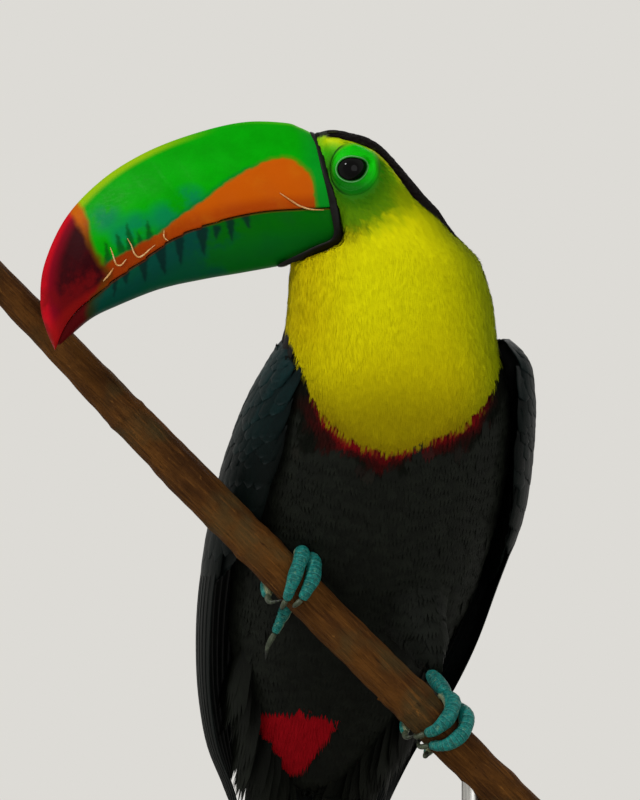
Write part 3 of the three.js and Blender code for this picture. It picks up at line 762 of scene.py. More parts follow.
def hornMaterial(half):
    material, tree = newMaterial(f"{half}_horn", Roughness=0.4, IOR=1.4, Specular_IOR_Level=0.045)
    place = objectPlace(tree)
    mottle = noiseValue(tree, place, 90, 5, 0.6)
    fine = noiseValue(tree, objectPlace(tree, (0.25, 1, 1)), 700, 4, 0.6)
    edgeRun, foreRun, spikes = (attributeValue(tree, key) for key in ("edgeRun", "foreRun", "toothShare"))
    wander = rangeOf(tree, noiseValue(tree, place, 160, 2), 0.3, 0.7, -0.5, 0.5)
    orange = plus(tree, attributeValue(tree, "orangeEdge"), wander)
    red = plus(tree, attributeValue(tree, "redEdge"), wander)
    if half == "upper":
        ridgeRun = attributeValue(tree, "outerRun")
        teal = times(tree, attributeValue(tree, "tealShare"), rangeOf(tree, mottle, 0.34, 0.54))
        lip = layered(tree, horn["orange"], (edgeRun, 7, 1.5, horn["orangeDeep"]),
                      (foreRun, 60, 100, "8e3003"), (mottle, 0.5, 0.8, 0, 0.2, "c97a10"))
        shadow = layered(tree, "6d7405", (foreRun, 30, 46, "04552c"))
        # the yellow culmen and the paler line along the ridge are partly the horn's own colour, partly a
        # painted rim light along the ridge
        culmen = times(tree, rangeOf(tree, ridgeRun, 3.0, 0.8), rangeOf(tree, foreRun, 55, 92))
        ridgeLine = times(tree, rangeOf(tree, ridgeRun, 1.6, 0.4, 0, 0.6), rangeOf(tree, foreRun, 60, 20))
        amber = layered(tree, "5a3203", (ridgeRun, 10, 2, "bc5c03"))
        amberEdge = plus(tree, red, rangeOf(tree, ridgeRun, 12, 2, 0, 3.4))
        blotch = times(tree, rangeOf(tree, mottle, 0.4, 0.62), rangeOf(tree, edgeRun, 12, 4))
        # the red tip: the crimson towards the ridge and the bright red stripe on it are a painted rim light
        # over the dark crimson; it is also redder near the cutting edge
        tip = layered(tree, horn["darkCrimson"], (ridgeRun, 4.6, 1.2, horn["crimson"]),
                      (ridgeRun, 2.0, 0.5, 0, 0.8, "c80c1c"), (times(tree, blotch, 0.7), "6c0a0e"),
                      (edgeRun, 2.2, 0.6, 0, 0.7, "8a0f0c"), (red, 18, 30, 0, 0.85, "96080f"))
        colour = layered(tree, "029602", (mottle, 0.3, 0.7, horn["green"]),
                         (edgeRun, 14, 4, 0, 0.3, horn["deepGreen"]), (foreRun, 24, 14, 0, 0.4, "057a30"),
                         (times(tree, teal, 0.8), horn["teal"]), (times(tree, spikes, 0.8), "04440f"),
                         (orange, -2.6, 0.2, 0, 0.6, shadow), (orange, -0.8, 0.7, lip),
                         (culmen, horn["yellow"]), (ridgeLine, "57b808"),
                         (amberEdge, -4.2, -0.6, amber), (red, -1.8, 1.2, tip))
    else:
        # painted shade: the lower half's tints are darker than the upper half's
        backRun = plus(tree, attributeValue(tree, "backRun"), rangeOf(tree, mottle, 0.3, 0.7, -8, 8))
        colour = layered(tree, horn["lowerTeal"], (backRun, -10, 8, horn["lowerGreen"]),
                         (mottle, 0.45, 0.7, 0, 0.3, "034a18"), (edgeRun, 5, 14, 0, 0.35, "055a24"),
                         (times(tree, spikes, 0.85), horn["toothDark"]),
                         (edgeRun, 0.9, 0.3, 0, 0.5, "6b2a08"), (red, -5, 0, 0, 0.8, "2e2a04"),
                         (red, -1, 3, "52080c"))
    grooves = noiseValue(tree, objectPlace(tree, (0.06, 1, 1)), 900, 3, 0.6)
    return dressed(material, colour, rangeOf(tree, fine, 0.3, 0.7, 0.36, 0.5),
                   plus(tree, times(tree, grooves, 0.4), mottle), 0.00025, 0.4)


def rimMaterial():
    material, tree = newMaterial("rim_black_horn", Roughness=0.5, IOR=1.5, Specular_IOR_Level=0.12)
    mottle = noiseValue(tree, objectPlace(tree), 320, 5, 0.6)
    colour = layered(tree, horn["black"], (mottle, 0.35, 0.75, "120f0c"))
    return dressed(material, colour, None, mottle, 0.0003, 0.6)


paintPoints(lowerBill, "backRun", pointsOf(lowerBill)[:, 0] / mm - bill["lower"]["greenFrom"])
finishPiece(upperBill, hornMaterial("upper"), "horn", "bill_upper")
finishPiece(lowerBill, hornMaterial("lower"), "horn", "bill_lower")
finishPiece(rimPiece, rimMaterial(), "horn", "bill_rim")
finishPiece(keratinCurls(), flakeMaterial(), "horn")


# one skin for head, neck and trunk, made from copies of the flesh

skinSettings = {
    "flesh": ["head", "throat_bib", "nape", "breast", "belly", "undertail_coverts", "uppertail_coverts",
              "thigh_left"],
    "bill": ["bill_rim", "bill_upper", "bill_lower"],
    "overlap": {"flesh": 0.35 * mm, "bill": 0.2 * mm},  # how far the copies grow into each other
    "voxel": 1.5 * mm,
    "rounds": 14,
    "underBill": 2 * mm,
    "underRim": 1.0 * mm,
    "tuck": 0.9 * mm,
}


def grownCopy(node, grow):
    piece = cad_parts[node].copy()
    piece.data = piece.data.copy()
    piece.parent = None
    for key in list(piece.keys()):
        del piece[key]
    piece.name = node + "_copy"
    piece.hide_viewport = piece.hide_render = False
    bpy.context.scene.collection.objects.link(piece)
    startEdit(piece, "SELECT")
    bpy.ops.mesh.remove_doubles(threshold=0.02 * mm)
    bpy.ops.mesh.normals_make_consistent(inside=False)
    bpy.ops.transform.shrink_fatten(value=grow)
    endEdit()
    return piece


def oneSkin():
    copies = [grownCopy(node, skinSettings["overlap"][kind]) for kind in ("flesh", "bill")
              for node in skinSettings[kind]]
    skin = joinPieces("skin", copies)
    applyModifier(skin, "REMESH", mode="VOXEL", voxel_size=skinSettings["voxel"])
    applyModifier(skin, "SMOOTH", factor=0.5, iterations=skinSettings["rounds"])
    points = pointsOf(skin)
    # what lies well inside the bill isn't needed, and leaves a hole to close
    ahead = rimLine("back", points[:, 2]) - points[:, 0]
    underBill = (ahead > skinSettings["underBill"]) & (points[:, 2] > 350 * mm) & (points[:, 0] < -3 * mm)
    underBill |= (points[:, 0] < -34 * mm) & (points[:, 2] > 310 * mm)
    skin.data.vertices.foreach_set("select", underBill)
    startEdit(skin)
    bpy.ops.mesh.delete(type="VERT")
    bpy.ops.mesh.select_all(action="DESELECT")
    bpy.ops.mesh.select_non_manifold()
    bpy.ops.mesh.edge_face_add()
    endEdit()
    skin.data.shade_smooth()
    return skin


skin = oneSkin()
outerPoints = pointsOf(skin)
underRim = rimLine("back", outerPoints[:, 2]) - outerPoints[:, 0]
underRim = skinSettings["underRim"] * smooth(-0.4 * mm, 1.2 * mm, underRim) * (outerPoints[:, 2] > 349 * mm)
skinNormals = normalsOf(skin)
sunk = coatDepth(outerPoints) + underRim + crownTrim(outerPoints, skinNormals)
movePoints(skin, outerPoints - skinNormals * sunk[:, None])


def sideHit(surface, x, z, side):
    # how far out from the head's middle plane a line from one side meets the surface
    start = Vector((x, headPlane + side * 60 * mm, z))
    spot = surface.ray_cast(start, Vector((0, -side, 0)))[0]
    return (spot.y - headPlane) * side if spot else None


def tuckUnder(piece, cover, gap):
    # keeps the piece beneath a cover that lies over it on either side of the head
    surface = surfaceOf(cover)
    points = pointsOf(piece)
    near = (points[:, 0] < 2 * mm) & (points[:, 0] > -40 * mm) & (points[:, 2] > 345 * mm)
    for index in np.flatnonzero(near):
        x, y, z = points[index]
        side = 1 if y > headPlane else -1
        out = sideHit(surface, x, z, side)
        if out is not None:
            points[index, 1] = headPlane + side * min(abs(y - headPlane), max(out - gap, 0.5 * mm))
    movePoints(piece, points)


tuckUnder(skin, rimPiece, skinSettings["tuck"])
print("skin", len(skin.data.polygons))


# eyes, their lids and the bare skin round them

orbitPatch = {
    "openLong": 5.75,   # half the opening, fore and aft, and up and down
    "openHigh": 4.8,
    "cornerBack": 1.1,  # how far the upper back corner draws out
    "stretch": {"ahead": 0.2, "behind": 1.05, "upright": 1.22},  # of the outer ring, by direction
    "cornerTurn": math.radians(24),
    # out from the lid's edge, and the height of the bare skin there
    "run": [-1.6, -0.5, -0.1, 0.12, 0.4, 0.75, 1.1, 1.5, 2.4, 3.2, 4.2, 5.0, 5.6, 6.3],
    "rise": [-3.2, -1.3, -0.2, 0.22, 0.42, 0.46, 0.3, 0.06, 0.16, 0.3, 0.3, 0.12, -0.1, -0.9],
    "socket": 8.1,
    "socketEdge": (9.6, 7.6),  # where the skin starts to sink round the eyeball, and where it's down
    "socketDeep": 3.6,
    "around": 160,
    "steps": 90,
}


def lidOutline(turn):
    back = np.maximum(np.cos(turn - orbitPatch["cornerTurn"]), 0) ** 7 * orbitPatch["cornerBack"]
    long, high = orbitPatch["openLong"], orbitPatch["openHigh"]
    return long * high / np.hypot(high * np.cos(turn), long * np.sin(turn)) + back


def orbitalSkin(name, side, headSurface):
    # side is -1 on the viewer's side of the head and 1 on the far one
    turn = np.linspace(0, 2 * math.pi, orbitPatch["around"], endpoint=False)
    run = np.linspace(orbitPatch["run"][0], orbitPatch["run"][-1], orbitPatch["steps"])
    rise = np.interp(run, orbitPatch["run"], orbitPatch["rise"])
    rise = np.convolve(np.pad(rise, 3, mode="edge"), np.ones(7) / 7, mode="valid")
    turnGrid, runGrid = np.meshgrid(turn, run, indexing="ij")
    stretch = orbitPatch["stretch"]
    fore = np.where(np.cos(turn) < 0, stretch["ahead"], stretch["behind"])
    outerShare = fore * np.cos(turn) ** 2 + stretch["upright"] * np.sin(turn) ** 2
    reach = lidOutline(turn)[:, None] + runGrid + np.maximum(runGrid - 2.4, 0) * (outerShare[:, None] - 1)
    x = eyeSpot["x"] / mm + reach * np.cos(turnGrid)
    z = eyeSpot["z"] / mm + reach * np.sin(turnGrid)
    front = smooth(-0.2, -0.8, np.cos(turnGrid))
    height = np.tile(rise, (len(turn), 1))
    height -= 0.34 * front * np.exp(-((runGrid - 3.3) / 0.35) ** 2)
    height += 0.16 * front * np.exp(-((runGrid - 4.1) / 0.5) ** 2)
    outer = smooth(1.5, 2.4, runGrid) * smooth(5.6, 4.2, runGrid)
    folds = np.sin(turnGrid * 34 + 2.2 * np.sin(3 * turnGrid) + runGrid * 1.5)
    rings = np.sin(runGrid * 6.5 + 1.3 * np.sin(turnGrid * 5))
    height += outer * (0.035 * folds + 0.04 * rings)
    height += smooth(0.0, 0.5, runGrid) * smooth(1.7, 1.0, runGrid) * 0.05 * np.sin(turnGrid * 52)
    base = np.empty(x.shape)
    for index in np.ndindex(x.shape):
        out = sideHit(headSurface, x[index] * mm, z[index] * mm, side)
        base[index] = np.nan if out is None else out / mm
    base = np.where(np.isnan(base), np.nanmin(base), base)
    # as if the socket were filled, the lids wrap the eyeball and then run out on to the head
    for distances, levels in zip(reach, base):
        edge = np.argmax(distances > orbitPatch["socket"])
        levels[:edge] = levels[edge]
    lidReach = lidOutline(turn)[:, None] + np.minimum(runGrid, 0.5)
    ball = (eyeSpot["sideways"] + np.sqrt(eyeSpot["radius"] ** 2 - (lidReach * mm) ** 2)) / mm
    level = base + (ball + 0.12 - base) * smooth(4.2, 0.5, runGrid)
    y = headPlane / mm + side * (level + height + 0.1 + 0.25 * smooth(0.5, 3, runGrid))
    points = np.stack([x.T, y.T, z.T], axis=2).reshape(-1, 3) * mm
    faces = gridFaces(len(run), len(turn), closed=True)
    if side > 0:
        faces = faces[:, ::-1]
    piece = meshPiece(name, points, faces)
    paintPoints(piece, "lidRun", np.repeat(run, len(turn)))
    # painted shade: the crease in front of the eye is painted dark green
    fold = smooth(0.05, -0.55, np.cos(turnGrid)) * smooth(4.4, 5.4, runGrid)
    paintPoints(piece, "foldShade", fold.T.reshape(-1))
    return piece


def socketed(skin):
    # sinks the skin round each eyeball, under the lids
    points = pointsOf(skin)
    away = eyeDistance(points)
    depth = orbitPatch["socketDeep"] * smooth(*orbitPatch["socketEdge"], away) * mm
    sideways = np.abs(points[:, 1] - headPlane)
    side = np.sign(points[:, 1] - headPlane)
    points[:, 1] -= side * np.where(sideways > 6 * mm, depth, 0)
    movePoints(skin, points)


headSurface = surfaceOf(skin)
orbits = [orbitalSkin("orbit_left", -1, headSurface), orbitalSkin("orbit_right", 1, headSurface)]
socketed(skin)
coatSurface = surfaceOf(skin)
skinPoints = pointsOf(skin)
paintPoints(skin, "paint", markings(skinPoints))
paintPoints(skin, "lidRun", np.full(len(skinPoints), 9.0))
paintPoints(skin, "foldShade", np.zeros(len(skinPoints)))
for orbit in orbits:
    paintPoints(orbit, "paint", markings(pointsOf(orbit)))
joinPieces("skin", [skin, *orbits])


def skinMaterial():
    material, tree = newMaterial("bare_skin", Roughness=0.6, IOR=1.4, Specular_IOR_Level=0.1)
    place = objectPlace(tree)
    pores, blotch = (noiseValue(tree, place, scale, 4, 0.6) for scale in (1500, 260))
    run = attributeValue(tree, "lidRun")
    paleRing = times(tree, rangeOf(tree, run, 0.45, 0.62), rangeOf(tree, run, 1.02, 0.82))
    colour = layered(tree, paintColour(tree), (blotch, 0.4, 0.75, 0, 0.18, "0b5a06"),
                     (run, 1.3, 0.7, 0, 0.7, "05540a"), (times(tree, paleRing, 0.6), "7cc080"),
                     # near black on the lid's edge and the inner wall of the opening: the lid margin's own
                     # dark colour, and painted shade in the recess round the eyeball
                     (run, 0.3, 0.05, "040804"),
                     # painted shade in the crease in front of the eye
                     (times(tree, attributeValue(tree, "foldShade"), 0.85), "043204"))
    return dressed(material, colour, rangeOf(tree, pores, 0.3, 0.7, 0.4, 0.62),
                   plus(tree, times(tree, blotch, 0.6), pores), 0.00035, 0.55)


finishPiece(skin, skinMaterial(), "face_skin", *skinSettings["flesh"])
print("orbits", len(skin.data.polygons))


def eyeball(name, side, node):
    centre = Vector((eyeSpot["x"], headPlane + side * eyeSpot["sideways"], eyeSpot["z"]))
    bpy.ops.object.select_all(action="DESELECT")
    bpy.ops.mesh.primitive_uv_sphere_add(segments=64, ring_count=40, radius=eyeSpot["radius"] - 0.1 * mm,
                                         location=centre, rotation=(math.pi / 2, 0, 0))
    piece = newestPiece(name)
    points = pointsOf(piece)
    out = (points - np.array(centre)) * [1, side, 1]
    away = np.hypot(out[:, 0], out[:, 2])
    bulge = eyeSpot["bulge"] * smooth(5.2 * mm, 2.5 * mm, away) * (out[:, 1] > 0)
    points[:, 1] += side * bulge
    movePoints(piece, points)
    piece.data.shade_smooth()
    paintPoints(piece, "irisRun", np.where(out[:, 1] > 0, away / mm, 20))
    paintPoints(piece, "irisTurn", np.arctan2(out[:, 2], out[:, 0]))
    finishPiece(piece, eyeSurface, "eye", node)


def eyeMaterial():
    material, tree = newMaterial("eye_surface", Roughness=0.04, IOR=1.33, Specular_IOR_Level=0.2)
    run = attributeValue(tree, "irisRun")
    spokes = addNode(tree, "CombineXYZ", {"X": times(tree, attributeValue(tree, "irisTurn"), 9.0),
                                          "Y": times(tree, run, 0.35)}).outputs[0]
    iris = layered(tree, "010201", (noiseValue(tree, spokes, 3.0, 4, 0.6), 0.3, 0.7, "070a07"))
    return dressed(material, layered(tree, "000000", (run, 3.3, 3.6, iris), (run, 4.7, 5.3, "010101")))


eyeSurface = eyeMaterial()
eyeball("eyeball_left", -1, "eye_left")
eyeball("eyeball_right", 1, "eye_right")


# the coat: vanes and silky tufts laid over the skin

def onSurface(surface, points):
    spots = np.empty_like(points)
    normals = np.empty_like(points)
    for i, point in enumerate(points):
        spots[i], normals[i] = surface.find_nearest(point)[:2]
    return spots, normals


def rootsOn(piece, density, turn):
    # seeded places on the piece's faces, density(points) of them to a square metre
    mesh = piece.data
    mesh.calc_loop_triangles()
    corners = np.empty(len(mesh.loop_triangles) * 3, np.int32)
    mesh.loop_triangles.foreach_get("vertices", corners)
    triangles = pointsOf(piece)[corners.reshape(-1, 3)]
    edges = np.cross(triangles[:, 1] - triangles[:, 0], triangles[:, 2] - triangles[:, 0])
    area = np.linalg.norm(edges, axis=1) / 2
    expected = area * density(triangles.mean(axis=1))
    # a low-spread sequence along the faces keeps the roots even
    running = np.cumsum(expected) + turn
    counts = np.floor(running).astype(int) - np.floor(running - expected).astype(int)
    chosen = np.repeat(triangles, counts, axis=0)
    a, b = chance.random((2, len(chosen), 1))
    fold = a + b > 1
    a, b = np.where(fold, 1 - a, a), np.where(fold, 1 - b, b)
    return chosen[:, 0] + a * (chosen[:, 1] - chosen[:, 0]) + b * (chosen[:, 2] - chosen[:, 0])


def guidesFrom(surface, roots, lengths, lie, steps=4):
    # a short path over the surface for each root, following the lie of the coat
    spots, normals = onSurface(surface, roots)
    path, ups = [spots], [normals]
    for _ in range(steps):
        ahead = spots + lie(spots, normals) * lengths[:, None] / steps
        spots, normals = onSurface(surface, ahead)
        path.append(spots)
        ups.append(normals)
    return np.stack(path, axis=1), np.stack(ups, axis=1)


def bladeTemplate():
    # a contour feather: a rounded vane whose end frays into four points
    rows = [(0.0, 0.45), (0.38, 0.95), (0.72, 0.9)]
    wide = np.array([-1, -0.5, 0, 0.5, 1])
    points = [(along, a * reach, -0.16 * a * a) for along, reach in rows for a in wide]
    tips = [(0.87, -0.62), (0.99, -0.2), (1.0, 0.22), (0.88, 0.6)]
    points += [(along, a, -0.12 * a * a) for along, a in tips]
    last = 2 * len(wide)
    spikes = np.array([[last + i, last + i + 1, 3 * len(wide) + i] for i in range(4)])
    return np.array(points), gridFaces(3, len(wide)), spikes


def tuftTemplate(count, seed):
    # a silky tuft: narrow barbs that spread from one root
    source = np.random.default_rng(seed)
    points, quads, spikes = [], [], []
    for spread in np.linspace(-1, 1, count):
        tip = source.uniform(0.78, 1.0) - 0.12 * abs(spread)
        thin = 0.85 / count
        start = len(points)
        high = source.uniform(-0.25, 0.25)
        points += [(0, spread * 0.35 + edge * thin, 0) for edge in (-1, 1)]
        points += [(tip * 0.55, spread * 0.75 + edge * thin * 1.15, high) for edge in (-1, 1)]
        points.append((tip, spread * 1.02, high * 0.4))
        quads.append([start, start + 1, start + 3, start + 2])
        spikes.append([start + 2, start + 3, start + 4])
    return np.array(points), np.array(quads), np.array(spikes)


bakePatch = 0.0015  # half a feather's patch, as a share of the unwrap's width


def bakePlace(points):
    # an unwrap of the trunk's own shape: round the spine, and up it
    angle, _ = bodyAngle(points)
    return np.stack([(angle + 180) / 360, (points[:, 2] - 90 * mm) / (330 * mm)], axis=1)


def featherData(piece, colours, along, wide, roots):
    # paints feathers of one template, and unwraps each to a small patch at its root's place
    count, size = len(roots), len(along)
    paintPoints(piece, "paint", np.repeat(colours, size, axis=0))
    paintPoints(piece, "along", np.tile(along, count))
    paintPoints(piece, "wide", np.tile(wide, count))
    paintPoints(piece, "tone", np.repeat(chance.random(count), size))
    corners = np.empty(len(piece.data.loops), np.int32)
    piece.data.loops.foreach_get("vertex_index", corners)
    patch = np.stack([wide, along * 2 - 1], axis=1) * bakePatch
    flat = (bakePlace(roots)[:, None] + patch[None]).reshape(-1, 2)
    layer = piece.data.uv_layers.new(name="OFBake")
    layer.data.foreach_set("uv", flat[corners].astype(np.float32).ravel())
    print(piece.name, count, "laid,", len(piece.data.polygons), "faces")


def layCoat(name, template, path, ups, width, lifts, colours, sway, tilt, soft):
    shape, quads, spikes = template
    along, wide, rise = shape.T
    count, steps = len(path), path.shape[1] - 1
    low = np.minimum((along * steps).astype(int), steps - 1)
    share = (along * steps - low)[None, :, None]
    centre = path[:, low] * (1 - share) + path[:, low + 1] * share
    up = unit(ups[:, low] * (1 - share) + ups[:, low + 1] * share)
    forward = unit(path[:, low + 1] - path[:, low])
    side = unit(np.cross(up, forward))
    swing = chance.normal(size=(count, 1)) * sway * along[None, :] ** 1.5
    reach = width[:, None] * (wide[None, :] + swing)
    height = lifts[0][:, None] + (lifts[1] - lifts[0])[:, None] * smooth(0, 0.7, along)[None, :]
    height = height + width[:, None] * rise[None, :] + chance.normal(size=(count, 1)) * tilt * reach
    points = centre + side * reach[..., None] + up * height[..., None]
    shift = np.arange(count)[:, None, None] * len(shape)
    sets = [(faces[None, :, ::-1] + shift).reshape(-1, faces.shape[1]) for faces in (quads, spikes)]
    piece = meshPiece(name, points.reshape(-1, 3), *sets)
    featherData(piece, colours, along, wide, path[:, 0])
    # light falls on the coat more as one soft surface than on each barb
    leaning = unit(up.reshape(-1, 3) * soft + normalsOf(piece) * (1 - soft))
    piece.data.normals_split_custom_set_from_vertices(leaning.tolist())
    return piece


def featherMaterial(name, dark, **sockets):
    # barbs run out from the shaft at a slant; each feather is painted darker towards its root, as painted
    # shade beneath the feathers that lie over it
    material, tree = newMaterial(name, IOR=1.45, **sockets)
    along, wide, tone = (attributeValue(tree, key) for key in ("along", "wide", "tone"))
    back = times(tree, calculate(tree, "ABSOLUTE", wide), 9)
    slant = calculate(tree, "SUBTRACT", times(tree, along, 26), back)
    spread = {"X": slant, "Y": times(tree, wide, 0.8), "Z": times(tree, tone, 40)}
    barbs = noiseValue(tree, addNode(tree, "CombineXYZ", spread).outputs[0], 1.6, 3, 0.6)
    contrast = 0.3 if dark else 0.06
    # painted shade: darker towards the root; the barbs and each feather's tone add their own unevenness
    shade = rangeOf(tree, along, 0.0, 0.75, 0.5 if dark else 0.86, 1.0)
    shade = times(tree, shade, rangeOf(tree, barbs, 0.3, 0.7, 1 - contrast, 1 + contrast))
    shade = times(tree, shade, rangeOf(tree, tone, 0, 1, 1 - contrast, 1 + contrast, "LINEAR"))
    grey = addNode(tree, "CombineColor", {"Red": shade, "Green": shade, "Blue": shade}).outputs[0]
    colour = mixTints(tree, 1.0, paintColour(tree), grey, "MULTIPLY")
    return dressed(material, colour, None, barbs, 0.0002, 0.6 if dark else 0.2)


# each region's feathers: distance apart, length, half width, how much of the coat's depth they rise,
# and how much they sway aside, tilt, and take the light as one soft surface
coat = {
    "bib": (1.12, 8, 1.15, 0.62, 0.3, 0.06, 0.9),
    "trunk": (3.1, 15, 4.2, 0.95, 0.15, 0.1, 0.5),
    "band": (1.0, 6, 0.6, 0.8, 0.35, 0.1, 0.6),
    "cap": (1.3, 6, 1.15, 0.7, 0.08, 0.04, 0.8),
    "face": (0.95, 3.4, 0.5, 0.8, 0.5, 0.1, 0.85),
    "flank": (4.6, 38, 4.6, 0.9, 0.3, 0.1, 0.3),
    "red": (2.2, 14, 1.8, 0.8, 0.4, 0.12, 0.7),
}


def tipsOf(points, length):
    # where a feather rooted at each place would end
    section = sectionsAt(bodyLevels, points[:, 2])
    out = (points[:, :2] - section[:, :2]) / np.maximum(section[:, 2:4], 1e-3) ** 2
    normals = unit(np.concatenate([out, np.zeros((len(points), 1))], axis=1))
    return points + lieOf(points, normals) * length


def flankLie(points, normals):
    outward = 0.28 + 0.2 * smooth(-20, -30, points[:, 0] / mm) * smooth(160, 146, points[:, 2] / mm)
    return unit(lieOf(points, normals) + normals * outward[:, None])


def freePath(roots, normals, lengths, lie, steps=4):
    # a path that leaves the body instead of following it
    path, ups = [roots], [normals]
    for _ in range(steps):
        path.append(path[-1] + lie(path[-1], normals) * lengths[:, None] / steps)
        ups.append(normals)
    return np.stack(path, axis=1), np.stack(ups, axis=1)


def onSkinBody(points):
    # leaves out the skin that the bill and the lids cover
    ahead = rimLine("back", points[:, 2]) - points[:, 0]
    underHorn = (ahead > -0.3 * mm) & (points[:, 2] > 351 * mm) & (points[:, 0] < 0)
    offLids = smooth(0.2, 0.9, orbitDistance(points) + 40 * (points[:, 2] < 375 * mm))
    return np.where(underHorn, 0, 1) * offLids


def layRegion(kind, share, material, template, lie=None):
    # share(roots, tips) says how much of the region's full density a place gets
    spacing, length, width, lift, *bends = coat[kind]
    each = 1 / (spacing * mm) ** 2
    roots = rootsOn(skin, lambda points: each * share(points, tipsOf(points, 0.75 * length * mm))
                    * onSkinBody(points), chance.random())
    size = 0.85 + 0.3 * chance.random(len(roots))
    lengths = length * mm * size
    if kind == "bib":  # shorter beside the black
        lengths *= 1 - 0.5 * smooth(-12, -3, insideBlack(roots))
    if kind == "flank":  # and below, under the wings' ends
        lengths *= 1 - 0.15 * smooth(150, 130, roots[:, 2] / mm)
    if lie:
        path, ups = freePath(*onSurface(coatSurface, roots), lengths, lie)
    else:
        path, ups = guidesFrom(coatSurface, roots, lengths, lieOf)
    depth = coatDepth(path[:, 0])
    lifts = (0.12 * depth, lift * depth * (0.8 + 0.3 * chance.random(len(roots))))
    jitter = chance.normal(scale=0.5 * mm, size=roots.shape)
    places = np.where(path[:, :1, 2] > 345 * mm, path[:, 1], path[:, -2])
    colours = markings(places + jitter)
    if kind in ("trunk", "cap"):  # these stay black or white beside another colour
        strong = (np.ptp(colours, axis=1) > 0.03) & (colours[:, 2] < 0.2)
        colours[strong] = plumage["napeBlack" if kind == "cap" else "black"][:3]
    if kind == "flank":
        colours[:] = plumage["black"][:3]
    piece = layCoat(f"coat_{kind}", template, path, ups, width * mm * size, lifts, colours, *bends)
    finishPiece(piece, material, "plumage")


# where each region of the coat grows

def blackShare(points):
    return smooth(-0.3, 0.5, insideBlack(points))


def capHeight(points):
    return smooth(335, 352, points[:, 2] / mm)


def behindRim(points):
    return smooth(0, 1.5, (points[:, 0] - rimLine("back", points[:, 2])) / mm)


def redShare(roots, tips):
    middles = roots + (tips - roots) * 0.45
    colours = markings(middles)
    return smooth(0.02, 0.06, colours[:, 0] - colours[:, 1]) * (middles[:, 2] < 200 * mm)


def bandShare(points):
    z = points[:, 2] / mm
    return smooth(12, 8, insideBlack(points)) * smooth(322, 308, z) * smooth(258, 262, z)


def bibShare(roots, tips):
    above = smooth(0, 6, roots[:, 2] / mm - faceLineAt(roots[:, 0] / mm))
    return smooth(0.8, -0.2, insideBlack(tips)) * (1 - above)


def trunkShare(roots, tips):
    return blackShare(tips) * (1 - capHeight(tips)) * (1 - redShare(roots, tips)) * (1 - bandShare(tips))


def capShare(roots, tips):
    return blackShare(tips) * blackShare(roots) * capHeight(tips) * behindRim(roots)


def faceShare(roots, tips):
    x, z = sideView(roots)
    bare = smooth(-4, -5.5, x) * smooth(384, 388, z)
    inside = insideBlack(roots)
    share = smooth(0, 5, z - faceLineAt(x)) * smooth(0.5, -0.5, inside) * (1 - bare)
    share = share * smooth(-0.2, -1.2, np.maximum(inside, insideBlack(tips)))
    return share * smooth(0.8, 2.5, orbitDistance(roots))


def flankShare(roots, tips):
    # loose feathers that hang from the body's sides, between it and the wings
    angle, _ = bodyAngle(roots)
    beside = np.minimum(np.abs(wrapAngle(angle - 176)), np.abs(wrapAngle(angle - 4)))
    z = roots[:, 2] / mm
    return smooth(38, 30, beside - 12 * smooth(156, 142, z)) * smooth(120, 130, z) * smooth(196, 186, z)


softFeather = featherMaterial("bib_feather", False, Roughness=0.8, Specular_IOR_Level=0.06)
blackFeather = featherMaterial("black_feather", True, Roughness=0.65, Specular_IOR_Level=0.12)
capFeather = featherMaterial("cap_feather", True, Roughness=0.85, Specular_IOR_Level=0.03)
silk = tuftTemplate(6, 2)
blade = bladeTemplate()
layRegion("bib", bibShare, softFeather, silk)
layRegion("trunk", trunkShare, blackFeather, blade)
layRegion("band", lambda roots, tips: bandShare(tips) * blackShare(tips), softFeather, silk)
layRegion("cap", capShare, capFeather, blade)
layRegion("face", faceShare, softFeather, tuftTemplate(3, 5))
layRegion("flank", flankShare, blackFeather, blade, flankLie)
layRegion("red", redShare, softFeather, silk)


# wings: a padded core, rows of coverts over it, and the long folded quills below

wingLevels = [
    (327, 19.5, -34, 49, 42), (314, 21, -31, 57.5, 51), (301, 18.6, -25, 62, 54),
    (275, 13.4, -11, 66.8, 55.5), (244.5, 7.4, 6, 69, 54.5), (214, -0.5, 23, 67, 50),
    (187, -6, 35, 63, 44), (163, -11.3, 47, 56.5, 37), (142, -16, 57, 48, 30), (124, -17, 66, 40, 25),
    (98, -19, 77, 31, 18),
]
wing = {
    "outermost": {-1: 195, 1: 15},
    "forward": {-1: 0, 1: 14},
    "radius": 62,
    "patch": {"top": 325, "end": 214, "turn": (16, 10), "half": (41, 47), "thick": 4},
    "rows": [  # tips at a height, feathers long and half wide, a distance apart
        {"tips": (317, 311, 305, 299, 293, 287, 281, 275, 269), "long": 17, "half": 4.4, "apart": 5.0,
         "loose": 2.2},
        {"tips": (260, 250, 240), "long": 27, "half": 6.0, "apart": 6.6, "loose": 2.0},
        {"tips": (229, 217), "long": 40, "half": 6.8, "apart": 7.2, "loose": 1.4},
    ],
    "quills": {"count": 17, "top": (256, 288), "end": (104, 136), "turnTop": (-8, 68), "turnEnd": (0, 60),
               "half": (5.4, 8.2), "under": (2.2, 0.4)},
    "coreInset": 1.5,
    "thick": {"coverts": 0.2, "quills": 0.35},
    "blackTint": tint("040a09"),
    "sheenTint": tint("061f20"),
}


def wingPoint(z, angle, out):
    section = sectionsAt(wingLevels, z * mm) / mm
    turn = np.radians(angle)
    return np.stack([section[..., 0] + (section[..., 2] + out) * np.cos(turn),
                     section[..., 1] + (section[..., 3] + out) * np.sin(turn), z], axis=-1) * mm


